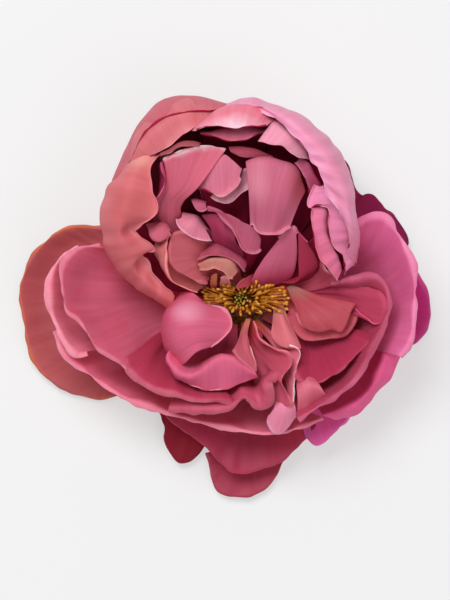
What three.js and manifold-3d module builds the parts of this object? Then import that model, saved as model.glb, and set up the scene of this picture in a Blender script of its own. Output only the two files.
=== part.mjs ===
// A full garden rose, picked just below the calyx and lying face up on its guard petals.
// Millimetres, +Z up. The flower is drawn about its own axis, x = 0 and y = 0, and the whole
// group is then moved so that its origin is the middle of its box, on the surface it lies on.
import * as THREE from 'three';
import { mergeVertices } from 'three/addons/utils/BufferGeometryUtils.js';
import Module from 'manifold-3d';

const wasm = await Module();
wasm.setup();

const petalThickness = 0.7;
const sepalThickness = 0.9;
const gap = 0.3;
const stepsAcross = 8;
const stepsAlong = 6;
const tableHeight = -20;

const stalkRadius = 2.7;
const hipRadius = 8.2;
const discRadius = 4.0;
const discHeight = -1.4;
const stamenCount = 22;
const stamenRingRadius = 2.9;
const sepalCount = 5;
const sepalLength = 21;

const rose = new THREE.Group();
const keptClear = [];

// ---- solids ----

function row(...points) {
  return points.map(([x, y, z]) => new THREE.Vector3(x, y, z));
}

// The foot of a petal: an arc round the axis, at an angle in degrees and half its spread.
function foot(angle, spread, radius, height) {
  return [-1, 0, 1].map((side) => {
    const turn = THREE.MathUtils.degToRad(angle + side * spread);
    return new THREE.Vector3(radius * Math.cos(turn), radius * Math.sin(turn), height);
  });
}

// Points of the surface that passes through the rows, from the foot to the rim.
function surfacePoints(rows) {
  const lines = rows.map((points) => new THREE.CatmullRomCurve3(points).getSpacedPoints(stepsAcross));
  const columns = [];
  for (let across = 0; across <= stepsAcross; across++) {
    const through = lines.map((line) => line[across]);
    columns.push(new THREE.CatmullRomCurve3(through).getSpacedPoints(stepsAlong));
  }
  return columns;
}

function pushOut(point, inner, distance) {
  return point.clone().add(point.clone().sub(inner).normalize().multiplyScalar(distance));
}

// The same surface, reaching further past each of its edges.
function widened(columns, distance) {
  const wide = columns.map((line) => {
    const last = line.length - 1;
    const grown = line.map((point) => point.clone());
    grown[0] = pushOut(line[0], line[1], distance);
    grown[last] = pushOut(line[last], line[last - 1], distance);
    return grown;
  });
  const end = wide.length - 1;
  const first = wide[0].map((point, along) => pushOut(point, wide[1][along], distance));
  const final = wide[end].map((point, along) => pushOut(point, wide[end - 1][along], distance));
  return [first, ...wide.slice(1, end), final];
}

function surfaceNormal(columns, across, along) {
  const end = columns.length - 1;
  const top = columns[0].length - 1;
  const overAcross = columns[Math.min(across + 1, end)][along].clone()
    .sub(columns[Math.max(across - 1, 0)][along]);
  const overAlong = columns[across][Math.min(along + 1, top)].clone()
    .sub(columns[across][Math.max(along - 1, 0)]);
  return overAlong.cross(overAcross).normalize();
}

// A closed sheet: the surface offset to both sides, with its edges closed.
function sheetGeometry(columns, thickness) {
  const wide = columns.length;
  const long = columns[0].length;
  const positions = [];
  for (const side of [0.5, -0.5]) {
    for (let across = 0; across < wide; across++) {
      for (let along = 0; along < long; along++) {
        const normal = surfaceNormal(columns, across, along);
        const point = columns[across][along].clone().addScaledVector(normal, side * thickness);
        positions.push(point.x, point.y, point.z);
      }
    }
  }
  const at = (side, across, along) => (side * wide + across) * long + along;
  const triangles = [];
  const quad = (a, b, c, d) => triangles.push(a, b, c, a, c, d);
  for (let i = 0; i < wide - 1; i++) {
    for (let j = 0; j < long - 1; j++) {
      quad(at(0, i, j), at(0, i, j + 1), at(0, i + 1, j + 1), at(0, i + 1, j));
      quad(at(1, i, j), at(1, i + 1, j), at(1, i + 1, j + 1), at(1, i, j + 1));
    }
  }
  for (let i = 0; i < wide - 1; i++) {
    quad(at(0, i, 0), at(0, i + 1, 0), at(1, i + 1, 0), at(1, i, 0));
    quad(at(0, i + 1, long - 1), at(0, i, long - 1), at(1, i, long - 1), at(1, i + 1, long - 1));
  }
  for (let j = 0; j < long - 1; j++) {
    quad(at(0, 0, j + 1), at(0, 0, j), at(1, 0, j), at(1, 0, j + 1));
    quad(at(0, wide - 1, j), at(0, wide - 1, j + 1), at(1, wide - 1, j + 1), at(1, wide - 1, j));
  }
  const geometry = new THREE.BufferGeometry();
  geometry.setAttribute('position', new THREE.Float32BufferAttribute(positions, 3));
  geometry.setIndex(triangles);
  return geometry;
}

function toSolid(geometry) {
  const bare = geometry.clone();
  bare.deleteAttribute('normal');
  bare.deleteAttribute('uv');
  const merged = mergeVertices(bare, 1e-5);
  return new wasm.Manifold(new wasm.Mesh({
    numProp: 3,
    vertProperties: new Float32Array(merged.attributes.position.array),
    triVerts: new Uint32Array(merged.index.array),
  }));
}

function toGeometry(solid) {
  const mesh = solid.getMesh();
  const geometry = new THREE.BufferGeometry();
  geometry.setAttribute('position', new THREE.Float32BufferAttribute(mesh.vertProperties, 3));
  geometry.setIndex(new THREE.Uint32BufferAttribute(mesh.triVerts, 1));
  geometry.computeVertexNormals();
  return geometry;
}

function largestBody(solid) {
  const [largest, ...crumbs] = solid.decompose().sort((a, b) => b.volume() - a.volume());
  [solid, ...crumbs].forEach((body) => body.delete());
  return largest;
}

function boxesMeet(one, other) {
  return [0, 1, 2].every((axis) => one.min[axis] < other.max[axis] && other.min[axis] < one.max[axis]);
}

// Adds a piece, cut back wherever it would come nearer than the gap to one placed before it.
function place(name, colour, roughness, geometry, clearance) {
  let solid = toSolid(geometry);
  for (const other of keptClear) {
    if (boxesMeet(solid.boundingBox(), other.boundingBox())) {
      const whole = solid;
      solid = whole.subtract(other);
      whole.delete();
    }
  }
  solid = largestBody(largestBody(solid).simplify(0.06));
  keptClear.push(toSolid(clearance));
  const material = new THREE.MeshStandardMaterial({ color: colour, roughness, metalness: 0 });
  const mesh = new THREE.Mesh(toGeometry(solid), material);
  mesh.name = name;
  rose.add(mesh);
}

function petal(name, colour, ...rows) {
  const columns = surfacePoints(rows);
  const clearance = sheetGeometry(widened(columns, gap), petalThickness + 2 * gap);
  place(name, colour, 0.5, sheetGeometry(columns, petalThickness), clearance);
}

// ---- the green parts and the heart ----

function hipGeometry(grown) {
  const profile = [
    [0, tableHeight], [stalkRadius, tableHeight], [stalkRadius, tableHeight + 3],
    [hipRadius * 0.75, tableHeight + 5], [hipRadius, tableHeight + 8.5], [hipRadius, -9.6],
    [discRadius + 1.2, -8.4], [discRadius, -5], [discRadius, discHeight - 1], [0, discHeight],
  ];
  const points = profile.map(([radius, height], index) => {
    const lift = index === profile.length - 1 ? grown : 0;
    return new THREE.Vector2(radius === 0 ? 0 : radius + grown, height + lift);
  });
  return new THREE.LatheGeometry(points, 20).rotateX(Math.PI / 2);
}
place('hip', 0x66803f, 0.55, hipGeometry(0), hipGeometry(gap));

function stylesGeometry(grown) {
  const floor = discHeight + gap + 0.3;
  const outline = [[0, floor], [1.1, floor], [1.3, 0.6], [1.7, 1.8], [1.1, 2.8], [0, 3.1]];
  const points = outline.map(([radius, height]) => (
    new THREE.Vector2(radius === 0 ? 0 : radius + grown, height)));
  return new THREE.LatheGeometry(points, 10).rotateX(Math.PI / 2);
}
place('styles', 0xb9a24a, 0.6, stylesGeometry(0), stylesGeometry(gap));

// Stamens: a low ring with filaments that lean outward, each with an anther at its tip.
function stamenRing() {
  const floor = discHeight + gap + 0.3;
  const inner = stamenRingRadius - 0.9;
  const outer = stamenRingRadius + 0.9;
  const outline = [[inner, floor], [outer, floor], [outer, 0.7], [inner, 0.7], [inner, floor]];
  const points = outline.map(([radius, height]) => new THREE.Vector2(radius, height));
  return new THREE.LatheGeometry(points, 16).rotateX(Math.PI / 2);
}

function stamenTip(index) {
  const turn = (index / stamenCount) * Math.PI * 2;
  const reach = index % 2 === 0 ? 1 : 0.72;
  return new THREE.Vector3(1.5 + 8.6 * reach * Math.cos(turn), 0.8 + 4.1 * reach * Math.sin(turn), 5.6);
}

function stamenSolid() {
  let solid = toSolid(stamenRing());
  for (let index = 0; index < stamenCount; index++) {
    const tip = stamenTip(index);
    const turn = (index / stamenCount) * Math.PI * 2;
    const root = new THREE.Vector3(Math.cos(turn), Math.sin(turn), 0).multiplyScalar(stamenRingRadius);
    const lean = tip.clone().sub(root);
    const filament = new THREE.CylinderGeometry(0.22, 0.3, lean.length(), 5);
    const anther = new THREE.OctahedronGeometry(0.75);
    filament.translate(0, lean.length() / 2, 0);
    anther.translate(0, lean.length(), 0);
    const aim = new THREE.Quaternion().setFromUnitVectors(new THREE.Vector3(0, 1, 0),
      lean.clone().normalize());
    for (const geometry of [filament, anther]) {
      geometry.applyQuaternion(aim).translate(root.x, root.y, root.z);
      solid = solid.add(toSolid(geometry));
    }
  }
  return toGeometry(solid);
}
const stamens = stamenSolid();
place('stamens', 0xc8861f, 0.6, stamens, stamens);

for (let index = 0; index < sepalCount; index++) {
  const turn = THREE.MathUtils.degToRad(18 + (index * 360) / sepalCount);
  const leaf = (distance, side, height) => [
    distance * Math.cos(turn) - side * Math.sin(turn),
    distance * Math.sin(turn) + side * Math.cos(turn),
    height,
  ];
  const tip = hipRadius + sepalLength;
  const columns = surfacePoints([
    row(leaf(7.6, -3.0, -10.6), leaf(8.8, 0, -10.4), leaf(7.6, 3.0, -10.6)),
    row(leaf(13, -3.4, -13.6), leaf(14, 0, -13.9), leaf(13, 3.4, -13.6)),
    row(leaf(20, -2.0, -17.2), leaf(20, 0, -17.6), leaf(20, 2.0, -17.2)),
    row(leaf(tip, -0.3, -19.2), leaf(tip, 0, -19.2), leaf(tip, 0.3, -19.2)),
  ]);
  const clearance = sheetGeometry(widened(columns, gap), sepalThickness + 2 * gap);
  place(`sepal_${index + 1}`, 0x6f8f45, 0.6, sheetGeometry(columns, sepalThickness), clearance);
}

// ---- heart petals: short folded petals round the stamens ----

petal('heart_fold', 0xd7aa82, foot(100, 14, 4.6, 0),
  row([-1, 8.5, 6], [-6, 11, 8], [-11, 9.5, 6]),
  row([-1.4, 7.4, 12.4], [-2.2, 9.5, 13.6], [-3.6, 10.8, 14.4], [-5.5, 11.3, 14.8], [-8, 11.3, 14.8],
    [-10.2, 10.8, 14.2], [-12.4, 9.6, 13]),
  row([-2.6, 6.1, 12], [-4, 6.6, 12.6], [-5, 7.8, 13.2], [-6.3, 8.8, 13.8], [-8, 9.3, 13.8], [-9.3, 8.8, 13.4],
    [-11.8, 8.7, 12.2]));
petal('heart_dome', 0xa04c74, foot(96, 18, 5.4, -0.5),
  row([1, 10.4, 8], [-3, 13, 9], [-7.5, 15.4, 9.6], [-12, 11.5, 8]),
  row([1, 9.2, 11.6], [0, 10.8, 12.6], [-2.4, 12.4, 13.2], [-7, 14.4, 13.4], [-11.4, 12.4, 12.6]),
  row([0.4, 7.8, 12.8], [-1, 9.4, 14], [-4, 11.6, 14.8], [-8, 12.2, 15], [-12.4, 10.6, 13.4]));
petal('petaloid', 0xe0b090, row([-3.2, 3, 2.4], [-6.2, 3, 2.4]),
  row([-3.2, 4.3, 6], [-6.3, 4.5, 6]),
  row([-3.6, 5.5, 9], [-5, 6.2, 9.6], [-6, 5.6, 9]));
petal('salmon_tongue', 0xe18287, row([8.6, -1.2, 0.6], [11, -0.6, 1]),
  row([7.9, -5, 5], [10.4, -5, 7], [12.4, -5.5, 6]),
  row([7.7, -9, 8], [8.8, -11.5, 9], [11, -12.6, 10], [14, -12.5, 10], [16, -13, 9.5], [15.3, -11, 8.5]));
petal('salmon_fan', 0xc86e6e, row([12, 3.4, 2], [12.8, 4.3, 2]),
  row([13.5, -0.5, 7], [18, -1, 10.5], [20, 1.6, 9]),
  row([14, -2, 9], [16, -5.6, 10.5], [19, -6, 12], [23, -4.5, 12.5], [26, -1.6, 11.5], [25, 0.4, 10.5]),
  row([14.5, -3, 9.5], [16, -6, 10.5], [18.5, -8.2, 11], [22, -8.4, 11.5], [24, -8.1, 12], [26, -8.6, 12],
    [27.6, -6, 11.8], [29, -2.5, 11.2], [30, -0.7, 10.5]));
petal('salmon_under', 0xb05a68, row([9.6, 0.8, -0.5], [11.6, 2.6, -0.5]),
  row([12.4, -3, 3], [18, -4, 5], [24, -1, 5]),
  row([11.6, -4, 5], [13, -6.7, 6.5], [17, -10.5, 7.5], [21, -10.6, 8], [26, -9.4, 8.5], [29, -7.5, 8.5],
    [31, -3, 8]));
petal('slip_fold', 0xa02846, row([0.8, -5, 1], [2.2, -5, 1]),
  row([-1, -10, 7.5], [1.2, -9.4, 7.5]),
  row([-2.5, -13, 12], [-1, -15.5, 13], [1.5, -17.5, 13.5], [3.6, -19.3, 13], [2.2, -15, 12], [1.2, -12, 11]));
petal('centre_fold', 0x8c142d, foot(278, 12, 6, -2),
  row([-0.5, -12, 2.5], [3.4, -13, 4], [5.4, -9.5, 7]),
  row([3, -22, 5], [8, -26.4, 9], [12.4, -28, 12], [11.4, -25, 13], [10, -22, 13.4], [12.4, -17.4, 14],
    [12, -14.8, 14], [8, -13.3, 13.4], [4.6, -10.8, 12], [2.8, -6, 8]));
petal('centre_slip', 0xb03c5a, foot(300, 8, 6.4, -2),
  row([9, -14, 3], [9.4, -10, 4]),
  row([13.2, -28, 9], [13.4, -24, 10], [13.8, -19, 11], [15.2, -15, 12], [14.8, -13.2, 12], [12.4, -12.4, 11]));

petal('shell_petal', 0xeb7da0, foot(205, 18, 6, -2.5),
  row([-16.5, 2, 3], [-21.5, -8, 2.5], [-18, -17.5, 4]),
  row([-14.6, 2.4, 12], [-19, -2.5, 16], [-19.4, -9, 16.5], [-15.6, -17, 14]),
  row([-13, 1.8, 14], [-14, -5, 19.5], [-12.5, -14, 17.5]),
  row([-9.5, -1.4, 13], [-5.2, -3, 15], [-3.6, -6, 15.5], [-5, -9, 15.5], [-9, -12.6, 15]));
petal('lip_petal', 0xe6648a, foot(238, 20, 6.8, -3),
  row([-15, -10, 1], [-11, -14.5, 2], [-1, -13, 2]),
  row([-20.6, -14.5, 12.6], [-20.2, -16.5, 13.6], [-17, -20, 14.6], [-14, -20.4, 15], [-10.6, -18.2, 15],
    [-7, -15.3, 15], [-5.4, -14.6, 15], [-2, -16, 15], [0.2, -17.6, 14.6], [3.6, -19.8, 13.6]),
  row([-21, -16.6, 11], [-18.4, -20.6, 11], [-14.4, -23.4, 11], [-10, -24.6, 11], [-5, -24, 11],
    [0, -22.2, 11], [4, -20.9, 12]));

petal('violet_face', 0xcd5f82, row([13, 5.4, 2], [7.5, 3.6, 1], [2.2, 1.6, 1]),
  row([14.2, 8.6, 8], [8, 8, 8.6], [2.2, 5, 5.6]),
  row([14.7, 12.5, 13], [10, 12.6, 14], [5, 10.2, 11.4]),
  row([14.2, 17.4, 19], [13.4, 19.2, 20], [11.6, 18.6, 19.4], [9.6, 16.2, 17.8]));
petal('violet_side', 0x9b3246, foot(36, 8, 7.6, -1.5),
  row([20.2, 8.6, 9], [14.4, 5, 7]),
  row([19.6, 11.5, 13.6], [14.9, 10.5, 13]),
  row([17, 15, 18], [14.6, 18.6, 20]));
petal('hanging_petal', 0xeb8ca0, foot(70, 16, 6.4, -2.4),
  row([13, 24, 8], [7, 29, 10], [2, 24, 8]),
  row([16.7, 28.8, 25], [16, 31.4, 26.4], [14, 35.4, 28.8], [9, 37.4, 30], [4, 37.6, 30], [0.6, 36.8, 28.4]),
  row([15.4, 26.4, 25.4], [12, 27.5, 28.6], [6, 28.6, 30], [1.3, 29, 27.4]),
  row([12.8, 20, 21.6], [11.2, 19.7, 22], [10.2, 19, 22], [8, 18.2, 22.6], [6, 18.2, 22.4], [4, 18.6, 22.2],
    [2.8, 20.6, 21.8], [1.8, 20.5, 21.4]));
petal('ribbon_petal', 0xc85a78, foot(92, 10, 5.6, -1),
  row([4, 12.6, 8], [0, 15, 9.6], [-6, 21, 11]),
  row([4.8, 16.5, 16.6], [4, 18.3, 17], [2.5, 20, 17.6], [1, 20.9, 18], [-1, 21.9, 18.4], [-3, 22.8, 18.8],
    [-6, 24.2, 19], [-9.8, 25.4, 18.6]),
  row([4.7, 14.2, 14.6], [3.6, 13.5, 14.6], [1.5, 13.8, 15], [0.2, 14.8, 15.6], [-1, 17, 16.2], [-2.5, 19.5, 16.8],
    [-5, 22, 17.2], [-7, 23.6, 17.6], [-9.8, 24.4, 17.6]));
petal('mauve_fold', 0x8c3255, foot(108, 14, 5.8, -1),
  row([0, 13.4, 9], [-4, 14.4, 10], [-8.4, 16.6, 10.6]),
  row([-2, 16, 12.4], [-5, 18, 14.2], [-9, 19.4, 13]),
  row([-2, 18.6, 14], [-4.4, 21, 15], [-7.4, 22.8, 15.6], [-11, 22.4, 15]));
petal('cheek_petal', 0xb45060, foot(138, 12, 6, -1.6),
  row([-8.8, 16, 9], [-12, 12.6, 11], [-11.6, 8.6, 10.4], [-9.4, 5.4, 8]),
  row([-13, 17.6, 15.4], [-18.6, 17.6, 17.4], [-19.4, 14, 17.8], [-19.4, 11, 17.4], [-18, 8.6, 16.6],
    [-15.4, 6.8, 15], [-12, 5.4, 13], [-9.4, 4.9, 11]));
petal('cheek_rim', 0xd07884, foot(150, 16, 6.6, -2.2),
  row([-13, 14.5, 6], [-15.5, 9.5, 7], [-11, 3, 4]),
  row([-23.4, 16.6, 13], [-24, 13, 13.4], [-22.4, 9.4, 13], [-18.4, 5, 11.6], [-12.6, 2, 9]),
  row([-19.6, 18, 18.6], [-20.2, 15, 19], [-20.6, 11, 19], [-20.2, 8, 18.2], [-19.2, 5.8, 17.2], [-17, 4.2, 16],
    [-14, 2.8, 14.4], [-12, 2.4, 13]));
petal('tile_petal', 0xe0809c, foot(101, 10, 6.6, -2),
  row([-3, 30, 16], [-8, 31, 17], [-11.6, 29, 16]),
  row([-0.2, 35.2, 26], [-2.6, 37.8, 27], [-5, 39.2, 27.4], [-8, 37.4, 26.4], [-11.6, 33.4, 23]),
  row([-0.9, 33, 25.4], [-2, 31.4, 25], [-4, 30, 24.4], [-5.5, 28.4, 23.8], [-7.5, 28.2, 23], [-9.5, 29.4, 22.2],
    [-12, 30.2, 21.4]));
petal('tile_lip', 0xe6a0b4, foot(96, 10, 6.2, -2),
  row([1.6, 29, 12], [-4, 26, 13]),
  row([0.4, 35.4, 24], [-3, 31.6, 22.6], [-8, 29.4, 20.6]),
  row([2.2, 34.4, 23.4], [1.9, 32.8, 23.2], [1, 31.4, 22.8], [-0.5, 30, 22.6], [-1.5, 28, 22], [-3, 26.2, 21.4],
    [-4.5, 25.8, 21], [-6, 26.5, 20.6], [-8.4, 28.2, 20]));
petal('knuckle_lip', 0xe68ca5, foot(122, 12, 6.4, -1.8),
  row([-8.8, 19, 11], [-12, 22.4, 12.4], [-16, 24, 12]),
  row([-9.6, 18.8, 14.6], [-12.6, 20.6, 16.8], [-16.8, 21.8, 16.2]),
  row([-8.6, 16.8, 14], [-11.5, 16.9, 15.4], [-14, 17.3, 16.2], [-16.3, 18.5, 16.2], [-17.6, 20.2, 15.8],
    [-17.9, 21.8, 15.2]));
petal('back_petal', 0xc85f7d, foot(116, 18, 7, -2.6),
  row([-16.4, 23, 13], [-18.6, 21, 13.6], [-21.4, 20.2, 13], [-23.8, 21.4, 12]),
  row([-16, 26.3, 19], [-19.5, 26.4, 19], [-23.6, 25.4, 17.6]),
  row([-12, 30, 24.4], [-16, 31, 23.4], [-20.6, 31.4, 22]),
  row([-5, 39.4, 27.6], [-8, 40.8, 27.8], [-11, 40.8, 27.8], [-14, 40, 27.4], [-17.6, 38.6, 26.8],
    [-21, 36.6, 25.6]));

// ---- frills of the right side ----

petal('right_frill', 0xd7648f, foot(32, 16, 7.6, -3.4),
  row([29, 8.6, 6], [30, 16, 9], [26, 24, 12], [20, 30, 12]),
  row([28.6, 9, 14], [30, 15, 20], [28.4, 20.6, 25], [25, 25.8, 28.4], [21.6, 30.4, 29]),
  row([27, 7.2, 12.6], [26.8, 12, 18], [24, 16, 22], [22.6, 20, 24.4], [23, 24.6, 26.4], [20, 25.4, 26.8],
    [18, 24.6, 26], [18, 27, 26.4], [20, 30.4, 27.4]));
petal('corner_frill', 0xb4466e, foot(56, 7, 7.2, -3),
  row([18.4, 22, 10], [13.6, 27, 10]),
  row([18.8, 26.6, 23], [20.6, 30.4, 25.6], [18.8, 33.6, 26.6], [17.5, 36.6, 27], [15.4, 38.4, 26.6]),
  row([17.8, 27.4, 23], [17.4, 30.4, 24.6], [16, 34.2, 25.6], [15.2, 35.2, 25.6], [14.2, 37, 25.4]));
petal('dusk_petal', 0x78283c, foot(17, 10, 7.2, -2.4),
  row([20, 2.6, 3.4], [19.4, 7, 5]),
  row([25.6, 4.4, 9], [24, 6.6, 12.4], [21.6, 8.2, 14.4], [20.8, 11.4, 16]));
petal('right_ruffle', 0xaf4155, foot(352, 12, 6.8, -3),
  row([20, -2.6, 2.6], [23, 1, 3.4], [19, 3, 3]),
  row([30, -2.4, 8.6], [34, -5.6, 11.6], [36.4, -6.4, 13], [37.8, -3, 13.2], [36.6, 1.6, 12.6], [33, 3.6, 11]));
petal('right_face', 0xb43c5a, foot(328, 14, 7, -2.6),
  row([13, -9.5, 1], [19, -11, 1], [24, -6, 1.4]),
  row([15.6, -15, 8], [14.5, -18, 9.4], [15.6, -21, 11], [19, -22.5, 11.6], [24, -20, 11.6], [28, -17, 11.6],
    [32, -13, 11], [36, -9, 10]));
petal('curl_warm', 0xd76e73, foot(302, 8, 7.4, -4),
  row([12.6, -17, 0], [16, -16, 0]),
  row([14.6, -25, 11.6], [16, -23.8, 12.4], [18.5, -22.8, 13], [20, -23, 12.6], [21.6, -24.5, 12]),
  row([14.6, -31.3, 7], [17, -30.4, 7.4], [20, -28.5, 7.6], [23.5, -26.2, 8.4]));
petal('curl_light', 0xf096af, foot(288, 9, 7.8, -4.6),
  row([6.6, -20, -2], [10.4, -19, -2]),
  row([8.4, -28.6, 10], [11, -28, 10.8], [14.2, -28.8, 10]),
  row([7.2, -31, 8.4], [7.1, -33.3, 7], [9.5, -35.6, 6], [12, -34, 6.2], [14.6, -31.6, 7.2]));

// ---- the deep cup, from the inside outward ----

petal('rolled_petal', 0xeb7891, foot(256, 24, 7.8, -4.4),
  row([-13, -18, -3], [-2, -20, -5], [7, -15, -3]),
  row([-19, -26.6, 6], [-12, -27, 8], [-4, -26.6, 9], [0, -24, 11], [4, -25.4, 10.4], [6.6, -20.6, 11],
    [11.4, -16.6, 9]),
  row([-20, -28.7, 8], [-12, -28.9, 10], [-4, -28.2, 11.4], [0, -25.4, 13], [2.8, -26.6, 12.6],
    [4.6, -28.6, 11.6], [6.2, -26, 12.6], [5.9, -22, 13], [8, -20, 12], [11.6, -17.2, 10]));
petal('lower_left_cup', 0xd25f82, foot(222, 24, 7.2, -3.8),
  row([-20, -7, -3], [-18, -14, -4.6], [-9, -17, -4]),
  row([-31, -15, 10], [-30.4, -17.6, 11], [-26, -21.8, 12], [-22, -23.7, 12.2], [-18, -24.3, 12.2],
    [-14, -25.8, 12], [-10, -26.2, 12], [-6, -26.2, 12], [-2.5, -27, 11]));
petal('left_inner_cup', 0xbe5073, foot(190, 32, 7.6, -4.4),
  row([-19, 9, -2], [-27, 0, -6.6], [-22, -11, -5]),
  row([-33, 13, 6], [-40.6, 7, 4], [-40, -2, 3.6], [-34, -9.6, 4], [-26, -15.4, 4.4]),
  row([-38, 14.2, 12], [-44, 13.4, 13.6], [-48, 9, 14.2], [-48, 3, 14.2], [-46.9, -3, 13.2], [-44, -4.8, 12.8],
    [-42, -8, 12.8], [-39.5, -12.2, 12.8], [-35, -15, 12.2], [-29.8, -19, 11]));
petal('right_inner_cup', 0xd2698c, foot(335, 30, 7.8, -4.6),
  row([10, -17, -4], [20, -15, -6], [24, -5, -5.4], [19, 2, -3]),
  row([14, -27, 4], [24, -21, 3], [31, -10, 3], [33, -1, 3.4], [27, 3, 4]),
  row([14.6, -31.8, 11], [20, -28.2, 12], [23.7, -26, 12.5], [27, -23.3, 13], [30.2, -20.2, 13], [34, -13, 13],
    [37.6, -6, 13], [38.7, 0, 13.2], [36.4, 5, 12.6], [30, 4.8, 11], [24, 3.6, 9]));
petal('left_outer_cup', 0xc85a78, foot(190, 26, 8.2, -5.6),
  row([-26, 11, -7], [-31, -2, -9.6], [-27, -13, -8.4]),
  row([-41.6, 13, 1], [-46, 3, -1], [-44.6, -8, -1.4], [-38, -13.6, -1]),
  row([-44, 14, 7.6], [-49, 10.8, 8.8], [-51.6, 5, 9], [-51.7, -1, 8.6], [-50.5, -5, 8], [-47.7, -11, 7.4],
    [-44.7, -14.4, 7], [-42, -13.8, 6.4]));
petal('right_outer_cup', 0xd26e96, foot(0, 26, 8.2, -5.6),
  row([27, -11, -6], [30, 2, -8], [23, 12, -5]),
  row([36.6, -13.6, 4], [40.6, 0, 2], [37, 12.6, 4], [29, 16.6, 6]),
  row([41.5, -15, 11.6], [43.2, -12.8, 12], [44.8, -9, 12.4], [45.3, -4, 12.8], [45.4, 4, 13], [45, 9, 13],
    [42, 15.5, 13.2], [38, 21.3, 13], [34, 21.3, 12.6], [30.4, 18.9, 12]));
petal('lower_right_cup', 0xd76e9b, foot(316, 20, 8.6, -6.4),
  row([15, -20, -9], [24, -17, -10.4], [29, -9, -8.6]),
  row([20, -28.6, -2], [29, -25, -3], [34, -18, -3], [36.8, -11, -2]),
  row([22, -31.4, 4.6], [30, -28.4, 5.6], [35, -23.6, 6], [37.8, -17, 6], [39.4, -13, 5]),
  row([25, -33, 2], [31, -31, 2], [36, -26, 2.2], [40.6, -20, 2.4], [43, -13.6, 2.6]));
petal('great_cup', 0x963246, foot(246, 44, 8.4, -6.6),
  row([-25, -7, -10.6], [-20, -20, -12.6], [0, -25.6, -13.6], [16, -21, -10.4]),
  row([-44, -9, -5], [-34, -20, -6], [-20, -26, -7], [0, -31, -7], [17, -29, -4.4]),
  row([-50.4, -8.2, 2], [-48.2, -13.8, 3], [-40, -20.7, 3.2], [-32, -26, 3.2], [-24.5, -28.5, 3.2],
    [-14, -31.9, 3], [-4, -34.1, 3], [6, -35.7, 3], [14, -34.5, 3], [21.4, -31.6, 2.8]));

// ---- the upper dome: petals that rise outside and curl in ----

petal('dome_layer', 0xbe5078, foot(96, 12, 7.8, -4),
  row([6, 40, 10], [-1, 42, 11], [-10, 39, 10]),
  row([7, 45, 25], [-1, 46.4, 27], [-11.4, 44.6, 24.6]),
  row([6, 44.6, 28.4], [2, 42.8, 29], [-1, 42.4, 29], [-4, 42.8, 29], [-8, 43.8, 28], [-11.6, 44, 26.4]));
petal('dome_notch', 0xf0a0b8, foot(68, 10, 7.9, -4),
  row([18, 33, 10], [12, 41, 11], [7, 43, 11]),
  row([17.2, 37.4, 28], [15.6, 41, 30], [13, 44, 31], [10, 46.6, 30.4], [7.8, 47.4, 29]),
  row([15.6, 37.6, 29], [12, 39.8, 30.6], [10, 41.2, 31], [7, 41.6, 31], [4, 42.2, 30]));
petal('dome_centre', 0xf596aa, foot(98, 16, 8.2, -4.6),
  row([9, 46, 9], [0, 49, 11], [-12, 44.6, 9]),
  row([8.6, 48, 28], [4, 50.6, 30], [0, 51.2, 31], [-5, 50.5, 30], [-8, 49.2, 29], [-13.8, 44.9, 26]),
  row([6.3, 46.2, 32], [0, 45.8, 33], [-4, 45.8, 33], [-8, 46, 32], [-12.6, 44.8, 29]));
petal('coral_petal', 0xd76e62, foot(150, 26, 8.4, -5),
  row([-22, 31, 4], [-32, 20, 5], [-22, 2, 2]),
  row([-28.8, 39, 12], [-33, 33, 13], [-36.4, 30, 14], [-38.4, 24, 14.4], [-38, 18, 14], [-37, 12.6, 13],
    [-34.4, 8.6, 12], [-30, 4, 10], [-25, 0.6, 8], [-20, -2.6, 7]),
  row([-26.4, 39.2, 24.6], [-30, 33, 28], [-32, 26, 29.4], [-33, 19, 28], [-31.6, 12.6, 23.6], [-29, 7.6, 18.6],
    [-24, 2.6, 14], [-19, -1, 10.6]),
  row([-22.6, 38.8, 24.6], [-25.6, 35, 25.8], [-25, 31, 26.4], [-24.4, 27.4, 26.4], [-23.5, 24, 26],
    [-24.6, 22.2, 25.4], [-27.6, 20.6, 24.6], [-30.8, 18.7, 23.6], [-28, 16.6, 22.4], [-24, 13.5, 20.4],
    [-27.2, 12.8, 19.6], [-28.2, 11, 18.4], [-26.6, 8.6, 16.4], [-24.6, 6, 14.6], [-22, 3.6, 13],
    [-18.4, 1.2, 11.4]));
petal('left_curl', 0xdc8290, foot(140, 8, 8, -3.4),
  row([-19.4, 20, 10], [-18, 14.6, 10]),
  row([-24.4, 21, 19], [-21.6, 20.4, 20], [-19.6, 18.6, 20]),
  row([-26, 20.6, 19.4], [-25.4, 18.6, 20.4], [-24.4, 16.8, 20.6], [-22.8, 16.1, 20.6], [-21, 16.8, 20.2],
    [-19.5, 18.2, 19.6]));
petal('crown_left', 0xe0786e, foot(120, 20, 8.8, -5.6),
  row([-4, 42, 4], [-18, 42, 5], [-26, 30, 4]),
  row([-5, 51.6, 12], [-12, 53.9, 13], [-20, 53.4, 13], [-27, 46.8, 13], [-30.4, 40, 12], [-34, 31.6, 10]),
  row([-6.4, 51, 21], [-13, 51, 25.6], [-20, 48.6, 27], [-25, 44.6, 26.6], [-28.6, 38, 24], [-31.6, 31.6, 18]),
  row([-7.4, 49.8, 22.6], [-11, 47.6, 26], [-17, 43.8, 27], [-22, 39.8, 26], [-25.6, 38, 24], [-28.8, 31.6, 18]));
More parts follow.
